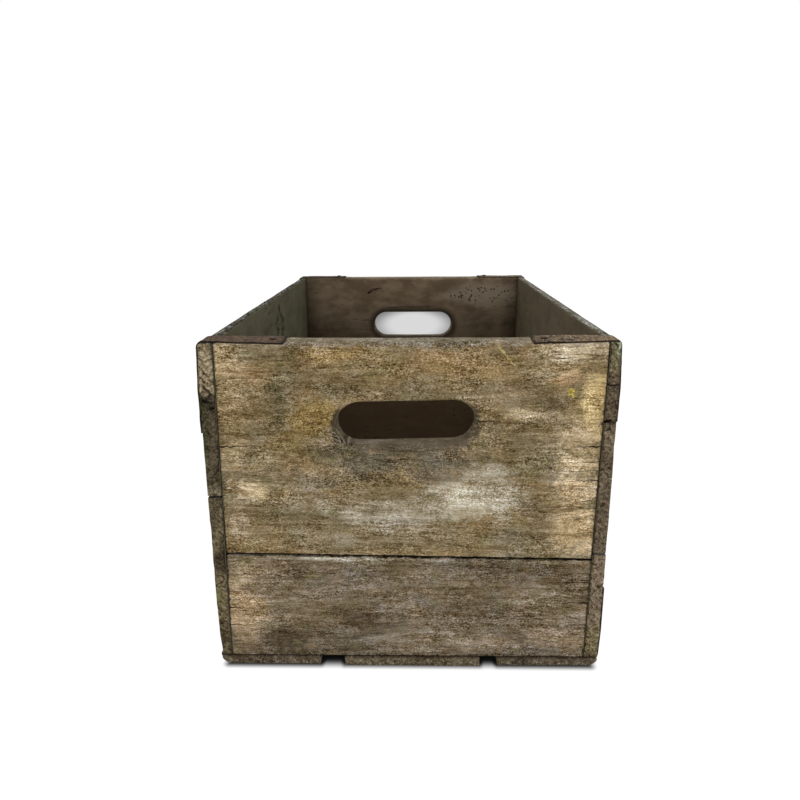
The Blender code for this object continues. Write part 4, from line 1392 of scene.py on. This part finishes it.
for name, starts, lift in (
    ("board_nails", ("side_nail", "bottom_nail"), 0.0006),
    ("strap_side_nails", ("strap_nail",), -RIM_NOTCH),
):
    nodes, heads, aims = nail_heads(*starts)
    low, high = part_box(nodes[0])
    heads = [head + Vector((0.0, 0.0, lift)) if aim.z else head for head, aim in zip(heads, aims)]
    if name == "strap_side_nails":
        heads += [head for head, _ in lower_heads]
        aims += [aim for _, aim in lower_heads]
    start = bpy.data.meshes.new(name + "_places")
    start.from_pydata([tuple(head) for head in heads], [], [])
    layer = start.attributes.new("aim", "FLOAT_VECTOR", "POINT")
    layer.data.foreach_set("vector", [value for aim in aims for value in aim])
    piece = grow(driven_nails, name, {
        "Length": max(high - low),
        "Head Radius": NAIL_HEAD_RADIUS,
        "Shank Radius": NAIL_SHANK_RADIUS,
        "Proud": 0.0005,
        "Seed": 71,
        "Material": rust,
    }, start)
    keep(piece, "nail_steel", *nodes)


# Floor, light and camera: plain white paper under a soft dome that is brightest overhead, seen from the
# photograph's place. The paper and the dome show as plain white, but for a painted shadow along the crate's
# foot, drawn by the distance from it, and a painted dim patch far behind the crate, which shows through the
# rear hole.
FLOOR_HALF = 40.0
SHADOW_BEHIND = 0.003
SHADOW_AHEAD = 0.0076
SHADOW_SIDES = 0.0085
GAP_LIGHT = 0.0060
FLOOR_GAPS = [(-0.0618, 0.0090), (0.0645, 0.0064)]
DIM_WIDTH = 0.13
DIM_DEPTH = 0.36
DIM_PLACE = 1.512
DIM_MIDDLE = 0.345
DIM_RIM = 0.45
DOME_HORIZON = 0.40
DOME_TOP = 1.75
CAMERA_PLACE = (0.0053, -0.732, 0.3588)
CAMERA_LENS = 31.311
WHITE = (255, 255, 255)
floor_mesh = bpy.data.meshes.new("studio_floor")
corners = [(-1, -1), (1, -1), (1, 1), (-1, 1)]
floor_mesh.from_pydata([(x * FLOOR_HALF, y * FLOOR_HALF, 0) for x, y in corners], [], [(0, 1, 2, 3)])
floor = bpy.data.objects.new("studio_floor", floor_mesh)
bpy.context.collection.objects.link(floor)
paper, base = open_material("studio_paper")


def seen_rays(base):
    """1 for rays on which a background shows: straight from the camera, or by way of metal or glass."""
    rays = base.add("ShaderNodeLightPath").socket.node.outputs
    names = ("Is Camera Ray", "Is Glossy Ray", "Is Transmission Ray")
    camera_ray, glossy_ray, clear_ray = [Wire(base.tree, rays[name]) for name in names]
    return camera_ray.most(glossy_ray).most(clear_ray)


seen = seen_rays(base)
x, y, _ = split(base.add("ShaderNodeTexCoord", None, None, "Object"))
# Painted shadow: seen from the camera the paper is near black and glows white only away from the crate's
# foot, reaching further in at the floor gaps, and less over the dim patch.
past_side = abs(x) - (cad_bounds[1][0] - SHADOW_SIDES)
past_end = abs(y) - END_FACE
behind = -SHADOW_BEHIND
for middle, half in FLOOR_GAPS:
    behind = behind - ease(abs(x - middle), half + 0.001, half - 0.004) * GAP_LIGHT
distance = length(past_side.most(0.0), past_end.most(0.0)) + past_side.most(past_end).least(0.0)
away = ease(distance, behind, SHADOW_AHEAD)
reach = length(x / DIM_WIDTH, (y - DIM_PLACE) / DIM_DEPTH)
dim = (DIM_MIDDLE + ease(reach, 0.5, 1.1) * DIM_RIM) * ease(reach, 2.4, 1.4)
close_material(base, {
    "Base Color": shade(WHITE, 0.97 - seen * 0.94),
    "Roughness": 1.0,
    "Specular IOR Level": 0.0,
    "Emission Color": shade(WHITE, seen * away * away * (1.0 - dim)),
    "Emission Strength": 1.0,
})
floor_mesh.materials.append(paper)

world = bpy.data.worlds.new("studio_dome")
bpy.context.scene.world = world
world.use_nodes = True
world.node_tree.nodes.clear()
base = Wire(world.node_tree)
shown = seen_rays(base)
_, _, height = split(base.add("ShaderNodeTexCoord", None, None, "Generated"))
light = DOME_HORIZON + height.most(0.0) * (DOME_TOP - DOME_HORIZON)
strength = light + shown * (1.0 - light)
dome = base.add("ShaderNodeBackground", None, {"Color": (1.0, 1.0, 1.0, 1.0), "Strength": strength})
base.add("ShaderNodeOutputWorld", None, {"Surface": dome})

pitch, yaw, roll = radians(15.35), radians(-1.3), radians(-0.36)
forward = Vector((sin(yaw) * cos(pitch), cos(yaw) * cos(pitch), -sin(pitch)))
level = Vector((cos(yaw), -sin(yaw), 0.0))
upright = level.cross(forward)
right = level * cos(roll) + upright * sin(roll)
up = upright * cos(roll) - level * sin(roll)
camera_data = bpy.data.cameras.new("photo_camera")
camera_data.lens = CAMERA_LENS
camera_data.sensor_width = 36.0
camera = bpy.data.objects.new("photo_camera", camera_data)
turn = Matrix((right, up, -forward)).transposed().to_4x4()
camera.matrix_world = Matrix.Translation(CAMERA_PLACE) @ turn
bpy.context.collection.objects.link(camera)
bpy.context.scene.camera = camera
bpy.context.scene.view_settings.view_transform = "Standard"
